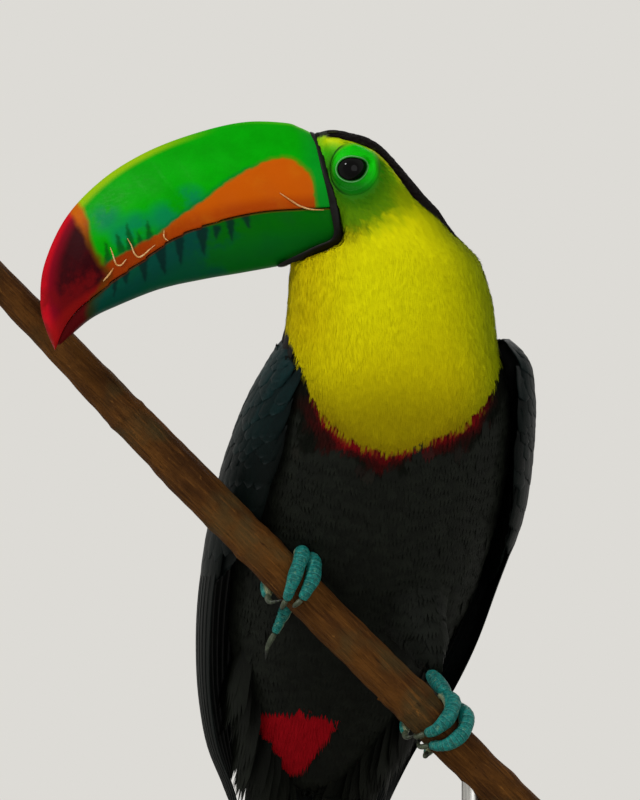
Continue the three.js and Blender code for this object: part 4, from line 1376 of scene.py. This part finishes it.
def patchHeight(turn, z, forward):
    # how far the padded patch stands below the wing's outline at a place on it
    patch = wing["patch"]
    run = np.clip((patch["top"] - z) / (patch["top"] - patch["end"]), 0.001, 0.999)
    middle = patch["turn"][0] + (patch["turn"][1] - patch["turn"][0]) * run - forward * (1 - run)
    half = patch["half"][0] + (patch["half"][1] - patch["half"][0]) * run
    swell = (2 * np.sqrt(run * (1 - run))) ** 0.6
    away = np.clip((turn - middle) / np.maximum(half * swell, 1), -1, 1)
    return -patch["thick"] * (1 - swell * np.sqrt(1 - away ** 2)), middle, half * swell


def plumeOutline(along, rounding=0.16):
    # half-width of a feather from its root to its rounded tip
    left = np.clip((1 - along) / rounding, 0, 1)
    return (0.55 + 0.45 * smooth(0, 0.45, along)) * np.sqrt(left * (2 - left))


shaftColumns = np.array([-1, -0.82, -0.55, -0.25, -0.05, 0.05, 0.25, 0.55, 0.82, 1])
plainColumns = np.array([-1, -0.6, 0, 0.6, 1])


def layPlumes(name, sheets, along, wide, colours, thick, *nodes):
    # sheets holds a grid of points for each feather, root to tip and edge to edge, made a thin closed blade
    count, rows, columns = sheets.shape[:3]
    normals = unit(np.cross(np.gradient(sheets, axis=2), np.gradient(sheets, axis=1)))
    points = np.stack([sheets, sheets - normals * thick * mm], axis=1).reshape(-1, 3)
    size = rows * columns
    upper = gridFaces(rows, columns)
    grid = np.arange(size).reshape(rows, columns)
    border = np.concatenate([grid[0, :-1], grid[:-1, -1], grid[-1, :0:-1], grid[:0:-1, 0]])
    ahead = np.roll(border, -1)
    edge = np.stack([ahead, border, border + size, ahead + size], axis=1)
    closed = np.concatenate([upper, upper[:, ::-1] + size, edge])
    shift = np.arange(count)[:, None, None] * size * 2
    piece = meshPiece(name, points, (closed[None] + shift).reshape(-1, 4))
    featherData(piece, colours, np.tile(np.repeat(along, columns), 2), np.tile(wide, rows * 2),
                sheets[:, 0, columns // 2])
    finishPiece(piece, wingFeather, "plumage", *nodes)


def wingSheets(side, top, end, turnTop, turnEnd, half, outAt, along, wide, tilt):
    # one grid for each feather, run down the wing's outline; outAt(turn, z, along) is its height on the wing
    z = top[:, None] + (end - top)[:, None] * along[None, :]
    turn = turnTop[:, None] + (turnEnd - turnTop)[:, None] * along[None, :]
    outline = plumeOutline(along)
    radius = sectionsAt(wingLevels, z * mm)[..., 2:4].mean(axis=-1) / mm
    spread = (half[:, None] * outline[None, :])[..., None] * wide
    z = np.repeat(z[..., None], len(wide), axis=2)
    turnAcross = turn[..., None] + np.degrees(spread / radius[..., None])
    out = outAt(turnAcross, z, along[None, :, None])
    out = out - tilt * wide * half[:, None, None] - 0.05 * np.abs(spread) ** 2 / half[:, None, None]
    shaft = np.where(np.abs(wide) < 0.1, 0.28, 0) * (1 - along[None, :, None])
    angle = wing["outermost"][side] + side * turnAcross
    sheets = wingPoint(z, angle, out + shaft)
    return sheets if side > 0 else sheets[:, :, ::-1]


def wingCore(name):
    core = grownCopy(f"wing_{name}_coverts", 0)
    core.name = f"wing_{name}_core"
    applyModifier(core, "REMESH", mode="VOXEL", voxel_size=skinSettings["voxel"])
    applyModifier(core, "SMOOTH", factor=0.5, iterations=4)
    movePoints(core, pointsOf(core) - normalsOf(core) * wing["coreInset"] * mm)
    size = len(core.data.vertices)
    paintPoints(core, "paint", np.tile(wing["blackTint"][:3], (size, 1)))
    for attribute, value in (("along", 0.5), ("wide", 0.4), ("tone", 0.5)):
        paintPoints(core, attribute, np.full(size, value))
    finishPiece(core, wingFeather, "plumage", f"wing_{name}_coverts")


def wingCoverts(side, name):
    forward = wing["forward"][side]
    black, sheen = (wing[key][:3] for key in ("blackTint", "sheenTint"))
    along = np.linspace(0, 1, 9)

    def outAt(turn, z, along):
        return patchHeight(turn, z, forward)[0] - 0.9 + 1.0 * along

    for index, group in enumerate(wing["rows"], 1):
        tops, ends, turns, halves = [], [], [], []
        apart = math.degrees(group["apart"] / wing["radius"])
        for row, tip in enumerate(group["tips"]):
            _, middle, reach = patchHeight(np.array(0.0), np.array(float(tip)), forward)
            places = np.arange(middle - reach + 3, middle + reach - 2, apart) + (row % 2) * apart / 2
            wobble = chance.normal(scale=group["loose"], size=len(places))
            turns.append(places + chance.normal(scale=0.8, size=len(places)))
            ends.append(tip + wobble)
            tops.append(np.minimum(tip + group["long"] + wobble * 0.5, wing["patch"]["top"] - 2))
            halves.append(group["half"] * (0.93 + 0.14 * chance.random(len(places))))
        tops, ends, turns, halves = (np.concatenate(values) for values in (tops, ends, turns, halves))
        sheets = wingSheets(side, tops, ends, turns, turns + 1.5, halves, outAt, along, plainColumns, 0.0)
        # painted sheen: the upper coverts are painted towards a teal sheen, fully on the right wing and a
        # fifth as much on the left
        lift = smooth(250, 320, ends)[:, None] * (1 if side < 0 else 0.2)
        colours = black + (sheen - black) * lift
        layPlumes(f"wing_{name}_coverts_{index}", sheets, along, plainColumns, colours,
                  wing["thick"]["coverts"])


def wingQuills(side, name):
    quills = wing["quills"]
    back = np.linspace(0, 1, quills["count"])
    along = np.linspace(0, 1, 34)

    def pick(key, share):
        return quills[key][0] + (quills[key][1] - quills[key][0]) * share

    def outAt(turn, z, along):  # the roots dive under the coverts
        return -pick("under", back)[:, None, None] - 0.2 - 6 * smooth(0.16, 0, along) + 0 * turn

    turns = pick("turnTop", back) - wing["forward"][side], pick("turnEnd", back)
    sheets = wingSheets(side, pick("top", back ** 1.4), pick("end", back ** 0.8), *turns,
                        pick("half", back), outAt, along, shaftColumns, 0.06)
    colours = np.tile(wing["blackTint"][:3], (len(back), 1))
    layPlumes(f"wing_{name}_quills", sheets, along, shaftColumns, colours, wing["thick"]["quills"],
              f"wing_{name}_flight")


wingFeather = featherMaterial("wing_feather", True, Roughness=0.5, Specular_IOR_Level=0.09)
for side, name in ((-1, "right"), (1, "left")):
    wingCore(name)
    wingCoverts(side, name)
    wingQuills(side, name)


# the tail: five pairs of long feathers, the middle pair on top

tail = {
    "root": (-14, 50, 150), "tip": (-25, 97, 27), "pairs": 5, "half": 7.8, "thick": 0.4,
    "spread": (10, 25),  # the outermost feathers' distance from the middle, at the root and the tip
    "shorter": 0.13,     # how much shorter they are, and how far they lie below the middle pair
    "sunk": 5,
    "sag": 1.2,
    "rounding": 0.08,
}


def tailPlumage():
    root, tip = (np.array(tail[key], float) for key in ("root", "tip"))
    run = tip - root
    across = np.array([math.cos(bodyTurn), math.sin(bodyTurn), 0])
    back = -unit(np.cross(across, run))
    along = np.linspace(0, 1, 40)
    outline = plumeOutline(along, tail["rounding"])
    sheets = []
    for side in (-1, 1):
        for i in range(tail["pairs"]):
            out = (i + 0.5) / tail["pairs"]
            reach = along * (1 - tail["shorter"] * out ** 2)
            spread = side * out * (tail["spread"][0] + (tail["spread"][1] - tail["spread"][0]) * reach)
            wideTurn = shaftColumns[None, :] * outline[:, None] * tail["half"]
            droop = 0.05 * np.abs(wideTurn) ** 2 / tail["half"]
            sink = -out * out * tail["sunk"] - (0.25 if side > 0 else 0) - droop
            shaft = np.where(np.abs(shaftColumns) < 0.1, 0.3, 0)[None, :] * (1 - along[:, None])
            sag = -tail["sag"] * np.sin(along * math.pi)[:, None]
            points = (root + run * reach[:, None, None] + across * (spread[:, None] + wideTurn)[..., None]
                      + back * (sink + shaft + sag)[..., None])
            sheets.append(points * mm)
    colours = np.tile(wing["blackTint"][:3], (len(sheets), 1))
    sheets = np.array(sheets)[:, :, ::-1]
    layPlumes("tail_feathers", sheets, along, shaftColumns, colours, tail["thick"], "tail")


tailPlumage()


# the branch: a sawn length of thin, rough-barked wood with a bud scar and a snapped twig

branch = {
    "middle": np.array([-12.9, -30, 206.6]) * mm,
    "run": np.array([math.sqrt(0.5), 0, -math.sqrt(0.5)]),
    "up": np.array([math.sqrt(0.5), 0, math.sqrt(0.5)]),
    "front": np.array([0.0, -1, 0]),
    "ends": (-208, 128),
    "radius": (6.9, 9.0, 9.1),
    "sides": 60,
    "grain": [(0.16, 14, 21), (0.1, 5, 22)],  # its bumps: how proud, how far apart, and their seed
    "knots": [(55, 15, 1.5, 3.4), (48, 160, 1.0, 2.6), (-38, 60, 0.8, 4.5), (-121, 100, 1.0, 4),
              (101, 70, 0.9, 3.6), (-170, 40, 0.9, 3.2)],
    "rings": [(58, 0.55, 1.4), (-41, 0.35, 1.8), (-118, 0.4, 1.5)],
}


def branchRadiusAt(along):
    low, high = branch["ends"]
    upper, middle, lower = branch["radius"]
    return upper + (middle - upper) * smooth(low, -60, along) + (lower - middle) * smooth(0, high, along)


def onBranch(along, turn, radius):
    along, turn, radius = (np.asarray(value, float)[..., None] for value in (along, turn, radius))
    turn = np.radians(turn)
    out = branch["up"] * np.cos(turn) + branch["front"] * np.sin(turn)
    return branch["middle"] + (branch["run"] * along + out * radius) * mm


def barkPiece():
    low, high = branch["ends"]
    bpy.ops.object.select_all(action="DESELECT")
    bpy.ops.mesh.primitive_cylinder_add(vertices=branch["sides"], radius=branch["radius"][1] * mm,
                                        depth=(high - low) * mm, end_fill_type="NGON",
                                        location=(0, 0, (high + low) / 2 * mm))
    piece = newestPiece("branch_bark")
    for cuts in (16, 15):  # the edges along the branch, cut and cut again
        selectNone(piece, "EDGE")
        pairs = np.empty(len(piece.data.edges) * 2, np.int32)
        piece.data.edges.foreach_get("vertices", pairs)
        heights = pointsOf(piece)[pairs.reshape(-1, 2), 2]
        piece.data.edges.foreach_set("select", np.abs(heights[:, 0] - heights[:, 1]) > 0.2 * mm)
        startEdit(piece)
        bpy.ops.mesh.subdivide(number_cuts=cuts)
        endEdit()
    local = pointsOf(piece) / mm
    along, turn = local[:, 2], np.degrees(np.arctan2(local[:, 1], local[:, 0]))
    ring = onBranch(along, turn, branchRadiusAt(along))
    grain = sum(proud * ripple(ring, wave * mm, seed) for proud, wave, seed in branch["grain"])
    grain = grain + 0.10 * np.sin(np.radians(turn) * 11 + 2.5 * ripple(ring, 45 * mm, 23))
    for place, around, proud, wide in branch["knots"]:
        away = np.hypot(along - place, np.radians(wrapAngle(turn - around)) * 9)
        grain = grain + proud * np.exp(-(away / wide) ** 2) - 0.5 * proud * np.exp(-(away / wide * 2.6) ** 2)
    for place, proud, wide in branch["rings"]:
        away = along - place - 0.8 * np.sin(np.radians(turn) + place)
        grain = grain + proud * np.exp(-(away / wide) ** 2)
    rounding = 0.6 * np.maximum(smooth(low + 1.2, low, along), smooth(high - 1.2, high, along))
    inset = smooth(0, 0.35, np.hypot(local[:, 0], local[:, 1]) / branch["radius"][1])
    lift = np.maximum(branch["radius"][1] - branchRadiusAt(along), 0)
    movePoints(piece, onBranch(along, turn, branchRadiusAt(along) + (grain - rounding) * inset)
               + branch["up"] * lift[:, None] * mm)
    piece.data.shade_smooth()
    startEdit(piece, "SELECT")
    bpy.ops.mesh.normals_make_consistent(inside=False)
    endEdit()
    bpy.ops.object.shade_smooth_by_angle(angle=math.radians(50))
    return piece


def twigStub():
    toEnd = -branch["up"] * 0.6 - branch["run"]
    bpy.ops.object.select_all(action="DESELECT")
    bpy.ops.mesh.primitive_cone_add(vertices=14, radius1=1.5 * mm, radius2=0.8 * mm, depth=6.5 * mm,
                                    end_fill_type="NGON",
                                    location=Vector(onBranch(47, 168, branchRadiusAt(47) - 1.2)),
                                    rotation=Vector(toEnd).to_track_quat("Z", "Y").to_euler())
    piece = newestPiece("branch_twig")
    startEdit(piece, "SELECT")
    bpy.ops.mesh.subdivide(number_cuts=3)
    endEdit()
    points = pointsOf(piece)
    movePoints(piece, points + normalsOf(piece) * (0.18 * mm * ripple(points, 2.5 * mm, 31))[:, None])
    bpy.ops.object.shade_smooth_by_angle(angle=math.radians(50))
    return piece


def barkMaterial():
    material, tree = newMaterial("rough_bark", Roughness=0.8, IOR=1.45, Specular_IOR_Level=0.1)
    turned = mappedTo(tree, addNode(tree, "TexCoord").outputs["Object"], Rotation=(0, math.radians(-45), 0))
    fibreLine, flakeLine = (mappedTo(tree, turned, Scale=(stretch, 1, 1)) for stretch in (0.06, 0.3))
    fibres = noiseValue(tree, fibreLine, 900, 5, 0.65)
    broad = noiseValue(tree, flakeLine, 90, 4, 0.6)
    flakes = noiseValue(tree, flakeLine, 260, 4, 0.7)
    # pale end grain with rings, only past the saw cuts
    runX, acrossY, upZ = (addNode(tree, "SeparateXYZ", {"Vector": turned}).outputs[way] for way in "XYZ")
    low, high = branch["ends"]
    half = (high - low) / 2 * mm
    middle = float(branch["middle"] @ branch["run"]) + (low + high) / 2 * mm
    fromMiddle = calculate(tree, "SUBTRACT", runX, middle)
    cut = rangeOf(tree, calculate(tree, "ABSOLUTE", fromMiddle), half - 0.3 * mm, half)
    away = addNode(tree, "CombineXYZ", {
        "X": calculate(tree, "SUBTRACT", acrossY, float(branch["middle"][1])),
        "Y": calculate(tree, "SUBTRACT", upZ, float(branch["middle"] @ branch["up"])),
    }).outputs[0]
    far = addNode(tree, "VectorMath", {0: away}, operation="LENGTH").outputs["Value"]
    far = plus(tree, far, rangeOf(tree, broad, 0, 1, -0.0006, 0.0006, "LINEAR"))
    rings = calculate(tree, "SINE", times(tree, far, 5200.0))
    endGrain = layered(tree, "b8925c", (rings, -0.2, 0.9, "8f6a3c"), (far, 0.0076, 0.0082, "3a2412"))
    colour = layered(tree, "3a210a", (broad, 0.35, 0.65, "583612"),
                     (noiseValue(tree, turned, 45, 3), 0.5, 0.68, 0, 0.5, "3f3a22"),
                     (fibres, 0.5, 0.7, 0, 0.5, "74491a"), (fibres, 0.44, 0.3, 0, 0.7, "1c1108"),
                     (flakes, 0.64, 0.7, 0, 0.7, "7e5322"), (flakes, 0.34, 0.28, 0, 0.7, "150c06"),
                     (cut, endGrain))
    return dressed(material, colour, rangeOf(tree, fibres, 0.3, 0.7, 0.9, 0.7),
                   plus(tree, fibres, rangeOf(tree, flakes, 0.28, 0.7)), 0.0007, 0.9)


bark = joinPieces("branch_bark", [barkPiece(), twigStub()])
finishPiece(bark, barkMaterial(), "perch_wood", "perch_branch")
print("branch", len(bark.data.polygons))


# feet: two toes ahead and two behind on each, with scutes over the top, pads beneath, and horn claws;
# a toe's path is along the branch in millimetres and round it in degrees, and hang is where it lets go

feet = {
    "right": {"at": -18.5, "knee": (3, 19, 12), "toes": {
        "front_inner": {"path": [(-2, -28), (1.5, 12), (6, 48), (8.5, 82), (9.5, 100)],
                        "thick": (3.9, 3), "claw": (9, 134)},
        "front_outer": {"path": [(-5.5, -28), (-4, 20), (-1, 62), (3, 102), (5, 126)],
                        "thick": (3.6, 2.8), "claw": (7, 164)},
        "back_outer": {"path": [(-4, -46), (-5, -90), (-5, -132), (-2, -172)],
                       "thick": (3.4, 3), "claw": (4, -216)},
        "back_inner": {"path": [(4, -46), (3, -84)], "hang": [(-26, -17.5, 210), (-32.5, -13.5, 196)],
                       "thick": (3, 2.5), "claw": (-36.5, -14, 184.5)},
    }},
    "left": {"at": 64, "knee": (-7, 15, 8), "toes": {
        "front_inner": {"path": [(-1, -28), (4, 15), (7, 55), (7, 92), (5, 116)],
                        "thick": (3.9, 3), "claw": (2, 152)},
        "front_outer": {"path": [(5, -28), (12, 14), (16, 56), (15, 98), (10, 130)],
                        "thick": (3.8, 2.9), "claw": (5, 168)},
        "back_inner": {"path": [(-3, -46), (-4, -90), (-3, -135), (-1, -170)],
                       "thick": (3.2, 2.6), "claw": (3, -210)},
        "back_outer": {"path": [(6, -46), (9, -90), (12, -135), (12, -166)],
                       "thick": (3, 2.4), "claw": (13, -206)},
    }},
}
footForm = {"shin": 3.4, "claw": 2.0, "scute": 1.9, "pad": 4.4, "around": 30, "apart": 0.24}


def gripPoint(at, spot, lift):
    along = at + spot[0]
    return onBranch(along, spot[1], branchRadiusAt(along) + lift)


def swept(name, line, radius, outward, form):
    # a limb round a line of points; outward(point) is its upper side; form(share, run, turn) swells it
    count = max(int(np.linalg.norm(np.diff(line, axis=0), axis=1).sum() / (footForm["apart"] * mm)), 12)
    around = footForm["around"]
    line = curveThrough(line, count)
    share = np.linspace(0, 1, count)
    run = np.concatenate([[0], np.cumsum(np.linalg.norm(np.diff(line, axis=0), axis=1))]) / mm
    tangent = unit(np.gradient(line, axis=0))
    out = np.array([outward(point) for point in line])
    out = unit(out - tangent * np.sum(out * tangent, axis=1, keepdims=True))
    side = unit(np.cross(tangent, out))
    turn = np.linspace(0, 2 * math.pi, around, endpoint=False)
    ends = np.power(np.maximum(4 * share * (1 - share), 1e-5), 0.22)
    reach = radius(share)[:, None] + form(share[:, None], run[:, None], turn[None, :])
    reach = (reach * ends[:, None])[..., None] * mm
    ring = line[:, None] + reach * (out[:, None] * np.cos(turn)[None, :, None]
                                    + side[:, None] * np.sin(turn)[None, :, None])
    cap = np.arange(around)
    behind = np.roll(cap, -1)
    last, size = (count - 1) * around, count * around
    start = np.stack([np.full(around, size), behind, cap], axis=1)
    tip = np.stack([last + cap, last + behind, np.full(around, size + 1)], axis=1)
    points = np.vstack([ring.reshape(-1, 3), line[0], line[-1]])
    piece = meshPiece(name, points, gridFaces(count, around, closed=True), start, tip)
    paintPoints(piece, "along", np.concatenate([np.repeat(run, around), [0, run[-1]]]))
    paintPoints(piece, "wide", np.concatenate([np.tile(np.cos(turn), count), [1, 1]]))
    paintPoints(piece, "tone", np.concatenate([np.repeat(share, around), [0, 1]]))
    return piece


def toeForm(scale):
    def form(share, run, turn):
        step = (run / footForm["scute"] + 0.12 * np.sin(run * 1.9)) % 1
        groove = np.exp(-(np.minimum(step, 1 - step) / 0.11) ** 2)
        top = smooth(0.1, 0.75, np.cos(turn))
        pads = np.abs(np.sin(run * math.pi / footForm["pad"]))
        under = smooth(-0.1, -0.8, np.cos(turn))
        grain = 0.05 * np.sin(turn * 9 + run * 2.7) * np.sin(run * 5.1)
        scutes = top * (0.22 * (1 - step) - 0.34 * groove)
        return scale * (scutes + under * 0.35 * (pads - 0.4) + (1 - top) * grain)
    return form


def awayFromBranch(point):
    rel = point - branch["middle"]
    return unit(rel - branch["run"] * (rel @ branch["run"]))


def footSkinMaterial():
    material, tree = newMaterial("scaly_foot", Roughness=0.5, IOR=1.45, Specular_IOR_Level=0.2)
    place = objectPlace(tree)
    run, top = (attributeValue(tree, key) for key in ("along", "wide"))
    step = calculate(tree, "FRACT", calculate(tree, "DIVIDE", run, footForm["scute"]))
    edge = calculate(tree, "MINIMUM", step, calculate(tree, "SUBTRACT", 1.0, step))
    above = rangeOf(tree, top, 0.0, 0.6)
    mottle = noiseValue(tree, place, 420, 5, 0.65)
    grains = addNode(tree, "TexVoronoi", {"Vector": place, "Scale": 1300.0}, feature="DISTANCE_TO_EDGE")
    grains = grains.outputs["Distance"]
    colour = layered(tree, "045a54", (mottle, 0.35, 0.68, "128880"),
                     (noiseValue(tree, place, 700, 5, 0.75), 0.53, 0.66, 0, 0.35, "93b88a"),
                     (times(tree, above, rangeOf(tree, step, 0.72, 0.9, 0, 0.3)), "58c0bc"),
                     (times(tree, above, rangeOf(tree, edge, 0.12, 0.0, 0, 0.7)), "0c3c3e"),
                     (top, -0.05, -0.7, 0, 0.85, "a3a57c"), (grains, 0.08, 0.0, 0, 0.55, "1d4a46"))
    return dressed(material, colour, rangeOf(tree, mottle, 0.3, 0.7, 0.52, 0.3),
                   plus(tree, rangeOf(tree, grains, 0, 0.2), mottle), 0.00025, 0.7)


def clawMaterial():
    material, tree = newMaterial("claw_horn", Roughness=0.38, IOR=1.5, Specular_IOR_Level=0.2)
    streaks = noiseValue(tree, objectPlace(tree, (1, 1, 0.3)), 1100, 4, 0.6)
    colour = layered(tree, "3c4434", (attributeValue(tree, "tone"), 0.1, 0.95, "141612"),
                     (streaks, 0.45, 0.75, 0, 0.6, "66705a"))
    return dressed(material, colour, None, streaks, 0.0002, 0.6)


def toeAndClaw(foot, name, toe):
    thick, thin = toe["thick"]
    hang = [np.array(point) * mm for point in toe.get("hang", [])]
    last = len(toe["path"]) + len(hang) - 1
    grip = [gripPoint(foot["at"], spot, thick + (thin - thick) * i / last)
            for i, spot in enumerate(toe["path"])]
    line = np.array(grip + hang)
    end = line[-1]
    outward = (lambda point: np.array([-0.7, -0.7, 0.15])) if hang else awayFromBranch
    if hang:
        tip = np.array(toe["claw"]) * mm
        middle = (end + tip) / 2 + np.array([-1, 0, 0]) * mm
    else:
        halfway = tuple((a + b) / 2 for a, b in zip(toe["path"][-1], toe["claw"]))
        middle = gripPoint(foot["at"], halfway, thin + 0.8)
        tip = gripPoint(foot["at"], toe["claw"], 0.9)

    def toeRadius(share):
        return thick + (thin - thick) * share + 0.18 * np.cos(share * 3 * 2 * math.pi)

    def clawRadius(share):
        return footForm["claw"] * (1 - 0.85 * share)

    def clawForm(share, run, turn):
        return -0.35 * (1 - share) * np.abs(np.sin(turn)) + 0 * run

    return (swept(f"toe_{name}", line, toeRadius, outward, toeForm(0.9)),
            swept(f"claw_{name}", np.array([end, middle, tip]), clawRadius, outward, clawForm))


footSkin = footSkinMaterial()
clawHorn = clawMaterial()
for side, foot in feet.items():
    root = gripPoint(foot["at"], (0, -6), 4.2)
    knee = root + np.array(foot["knee"]) * mm
    shin = swept(f"foot_{side}_shin", np.array([root, (root + knee) / 2, knee]),
                 lambda share: np.full(len(share), footForm["shin"]), lambda point: branch["front"],
                 toeForm(1.0))
    toes, claws = zip(*(toeAndClaw(foot, name, toe) for name, toe in foot["toes"].items()))
    whole = joinPieces(f"foot_{side}", [shin, *toes])
    horns = joinPieces(f"claws_{side}", claws)
    toeNodes = [f"toe_{name}_{side}" for name in foot["toes"]]
    finishPiece(whole, footSkin, "foot_skin", f"shin_{side}", *toeNodes)
    finishPiece(horns, clawHorn, "claw", *(f"claw_{name}_{side}" for name in foot["toes"]))
    print("foot", side, len(whole.data.polygons), len(horns.data.polygons))


# the display stand: an oiled board and a steel rod with a turned collar

stand = {"thick": 12, "edge": 0.7, "rodAt": (52, -30), "rod": 4, "collar": (8, 5), "rodTop": 136}


def standBoard():
    board = grownCopy("stand_base", 0)
    board.name = "stand_board"
    startEdit(board, "SELECT")
    bpy.ops.mesh.dissolve_limited(angle_limit=math.radians(2))
    endEdit()
    applyModifier(board, "BEVEL", width=stand["edge"] * mm, segments=3, limit_method="ANGLE",
                  angle_limit=math.radians(30))
    bpy.ops.object.shade_smooth_by_angle(angle=math.radians(40))
    return board


def standRod():
    x, y = (value * mm for value in stand["rodAt"])
    foot = stand["thick"] * mm + 0.3 * mm
    collarRadius, collarHigh = (value * mm for value in stand["collar"])
    bpy.ops.object.select_all(action="DESELECT")
    bpy.ops.mesh.primitive_cylinder_add(vertices=72, radius=collarRadius, depth=collarHigh,
                                        location=(x, y, foot + collarHigh / 2))
    collar = newestPiece("stand_rod_turned")
    selectNone(collar, "FACE")
    for face in collar.data.polygons:  # the collar's top
        face.select = face.normal.z > 0.9 and abs(face.center.z - foot - collarHigh) < 0.1 * mm
    startEdit(collar)
    bpy.ops.mesh.inset(thickness=collarRadius - stand["rod"] * mm - 0.4 * mm)
    bpy.ops.mesh.inset(thickness=0.4 * mm)
    rise = stand["rodTop"] * mm - foot - collarHigh
    bpy.ops.mesh.extrude_region_move(TRANSFORM_OT_translate={"value": (0, 0, rise)})
    endEdit()
    applyModifier(collar, "BEVEL", width=0.5 * mm, segments=4, limit_method="ANGLE",
                  angle_limit=math.radians(50))
    bpy.ops.object.shade_smooth_by_angle(angle=math.radians(35))
    return collar


def boardMaterial():
    material, tree = newMaterial("oiled_walnut", Roughness=0.45, IOR=1.47, Coat_Weight=0.15,
                                 Coat_Roughness=0.3)
    place = objectPlace(tree, (0.05, 1, 1))
    warp = noiseValue(tree, objectPlace(tree, (0.6, 1, 1)), 14, 3)
    rings = addNode(tree, "TexWave", {"Vector": place, "Scale": 60.0, "Distortion": 5.0, "Detail": 3.0,
                                      "Detail Scale": 1.5}, bands_direction="Y").outputs["Fac"]
    fine = noiseValue(tree, place, 1500, 4, 0.7)
    colour = layered(tree, "4a2f1c", (rings, 0.2, 0.9, "2e1c10"), (warp, 0.4, 0.7, 0, 0.5, "5f3f25"),
                     (fine, 0.55, 0.75, 0, 0.5, "1a0f08"))
    return dressed(material, colour, rangeOf(tree, fine, 0.3, 0.7, 0.38, 0.56), fine, 0.0001, 0.5)


def steelMaterial():
    material, tree = newMaterial("brushed_steel", Metallic=1.0, Roughness=0.3)
    brushed = noiseValue(tree, objectPlace(tree, (1, 1, 0.03)), 2600, 3, 0.6)
    smudge = noiseValue(tree, objectPlace(tree), 60, 3)
    roughness = plus(tree, rangeOf(tree, brushed, 0.3, 0.7, 0.22, 0.34),
                     rangeOf(tree, smudge, 0.4, 0.7, 0, 0.08))
    colour = layered(tree, "9a9a98", (brushed, 0.3, 0.7, "bdbcb8"))
    return dressed(material, colour, roughness, brushed, 0.00005, 0.4)


finishPiece(standBoard(), boardMaterial(), "stand_wood", "stand_base")
finishPiece(standRod(), steelMaterial(), "stand_steel", "stand_rod")
print("stand done")


# stage: pale floor, soft lamps and camera

def seenShare(tree, *rays):
    # 1 where a ray of any of these kinds looks at the backdrop
    outputs = addNode(tree, "LightPath").outputs
    seen = outputs["Is Camera Ray"]
    for ray in rays:
        seen = calculate(tree, "MAXIMUM", seen, outputs[ray])
    return seen


def floorMaterial():
    material, tree = newMaterial("pale_floor", Roughness=0.7)
    place = objectPlace(tree)
    dressed(material, layered(tree, "dcdad4", (noiseValue(tree, place, 3, 3), 0.3, 0.7, "e2e0da")))
    far = addNode(tree, "VectorMath", {0: place}, operation="LENGTH").outputs["Value"]
    fade = times(tree, rangeOf(tree, far, 0.5, 1.5), seenShare(tree, "Is Glossy Ray"))
    glow = addNode(tree, "Emission", {"Color": backdropTint, "Strength": 1.0})
    matt = tree.nodes["Principled BSDF"].outputs[0]
    both = addNode(tree, "MixShader", {0: fade, 1: matt, 2: glow.outputs[0]})
    tree.links.new(both.outputs[0], tree.nodes["Material Output"].inputs["Surface"])
    return material


backdropTint = tint("dddbd6")
bpy.ops.object.select_all(action="DESELECT")
bpy.ops.mesh.primitive_plane_add(size=60, location=(0, 0, 0))
studioFloor = bpy.context.active_object
studioFloor.name = "studio_floor"
studioFloor.data.materials.append(floorMaterial())

lamps = [
    {"name": "key_lamp", "place": (-1.2, -0.85, 1.55), "size": 0.4, "power": 19},
    {"name": "fill_lamp", "place": (0.7, -1.7, 0.55), "size": 1.5, "power": 10},
    {"name": "back_lamp", "place": (0.3, 1.4, 1.2), "size": 0.9, "power": 5},
]
target = Vector((0, -0.02, 0.3))
for lamp in lamps:
    place = Vector(lamp["place"])
    light = bpy.data.lights.new(lamp["name"], "AREA")
    light.shape = "DISK"
    light.size = lamp["size"]
    light.energy = lamp["power"]
    holder = bpy.data.objects.new(lamp["name"], light)
    holder.location = place
    holder.rotation_euler = (target - place).to_track_quat("-Z", "Y").to_euler()
    bpy.context.scene.collection.objects.link(holder)

world = bpy.data.worlds.new("studio_air")
bpy.context.scene.world = world
world.use_nodes = True
worldTree = world.node_tree
background = worldTree.nodes["Background"].inputs
background["Color"].default_value = backdropTint
seen = seenShare(worldTree, "Is Glossy Ray", "Is Transmission Ray")
worldTree.links.new(rangeOf(worldTree, seen, 0, 1, 0.45, 1.0, "LINEAR"), background["Strength"])

camera = bpy.data.cameras.new("camera")
camera.sensor_width = 36
camera.lens = 272.1
camera.clip_start = 0.1
camera.clip_end = 60
cameraHolder = bpy.data.objects.new("camera", camera)
cameraHolder.location = (-0.0129, -2.630, 0.2969)
cameraHolder.rotation_euler = (math.pi / 2, 0, 0)
bpy.context.scene.collection.objects.link(cameraHolder)
bpy.context.scene.camera = cameraHolder
bpy.context.scene.view_settings.view_transform = "Standard"
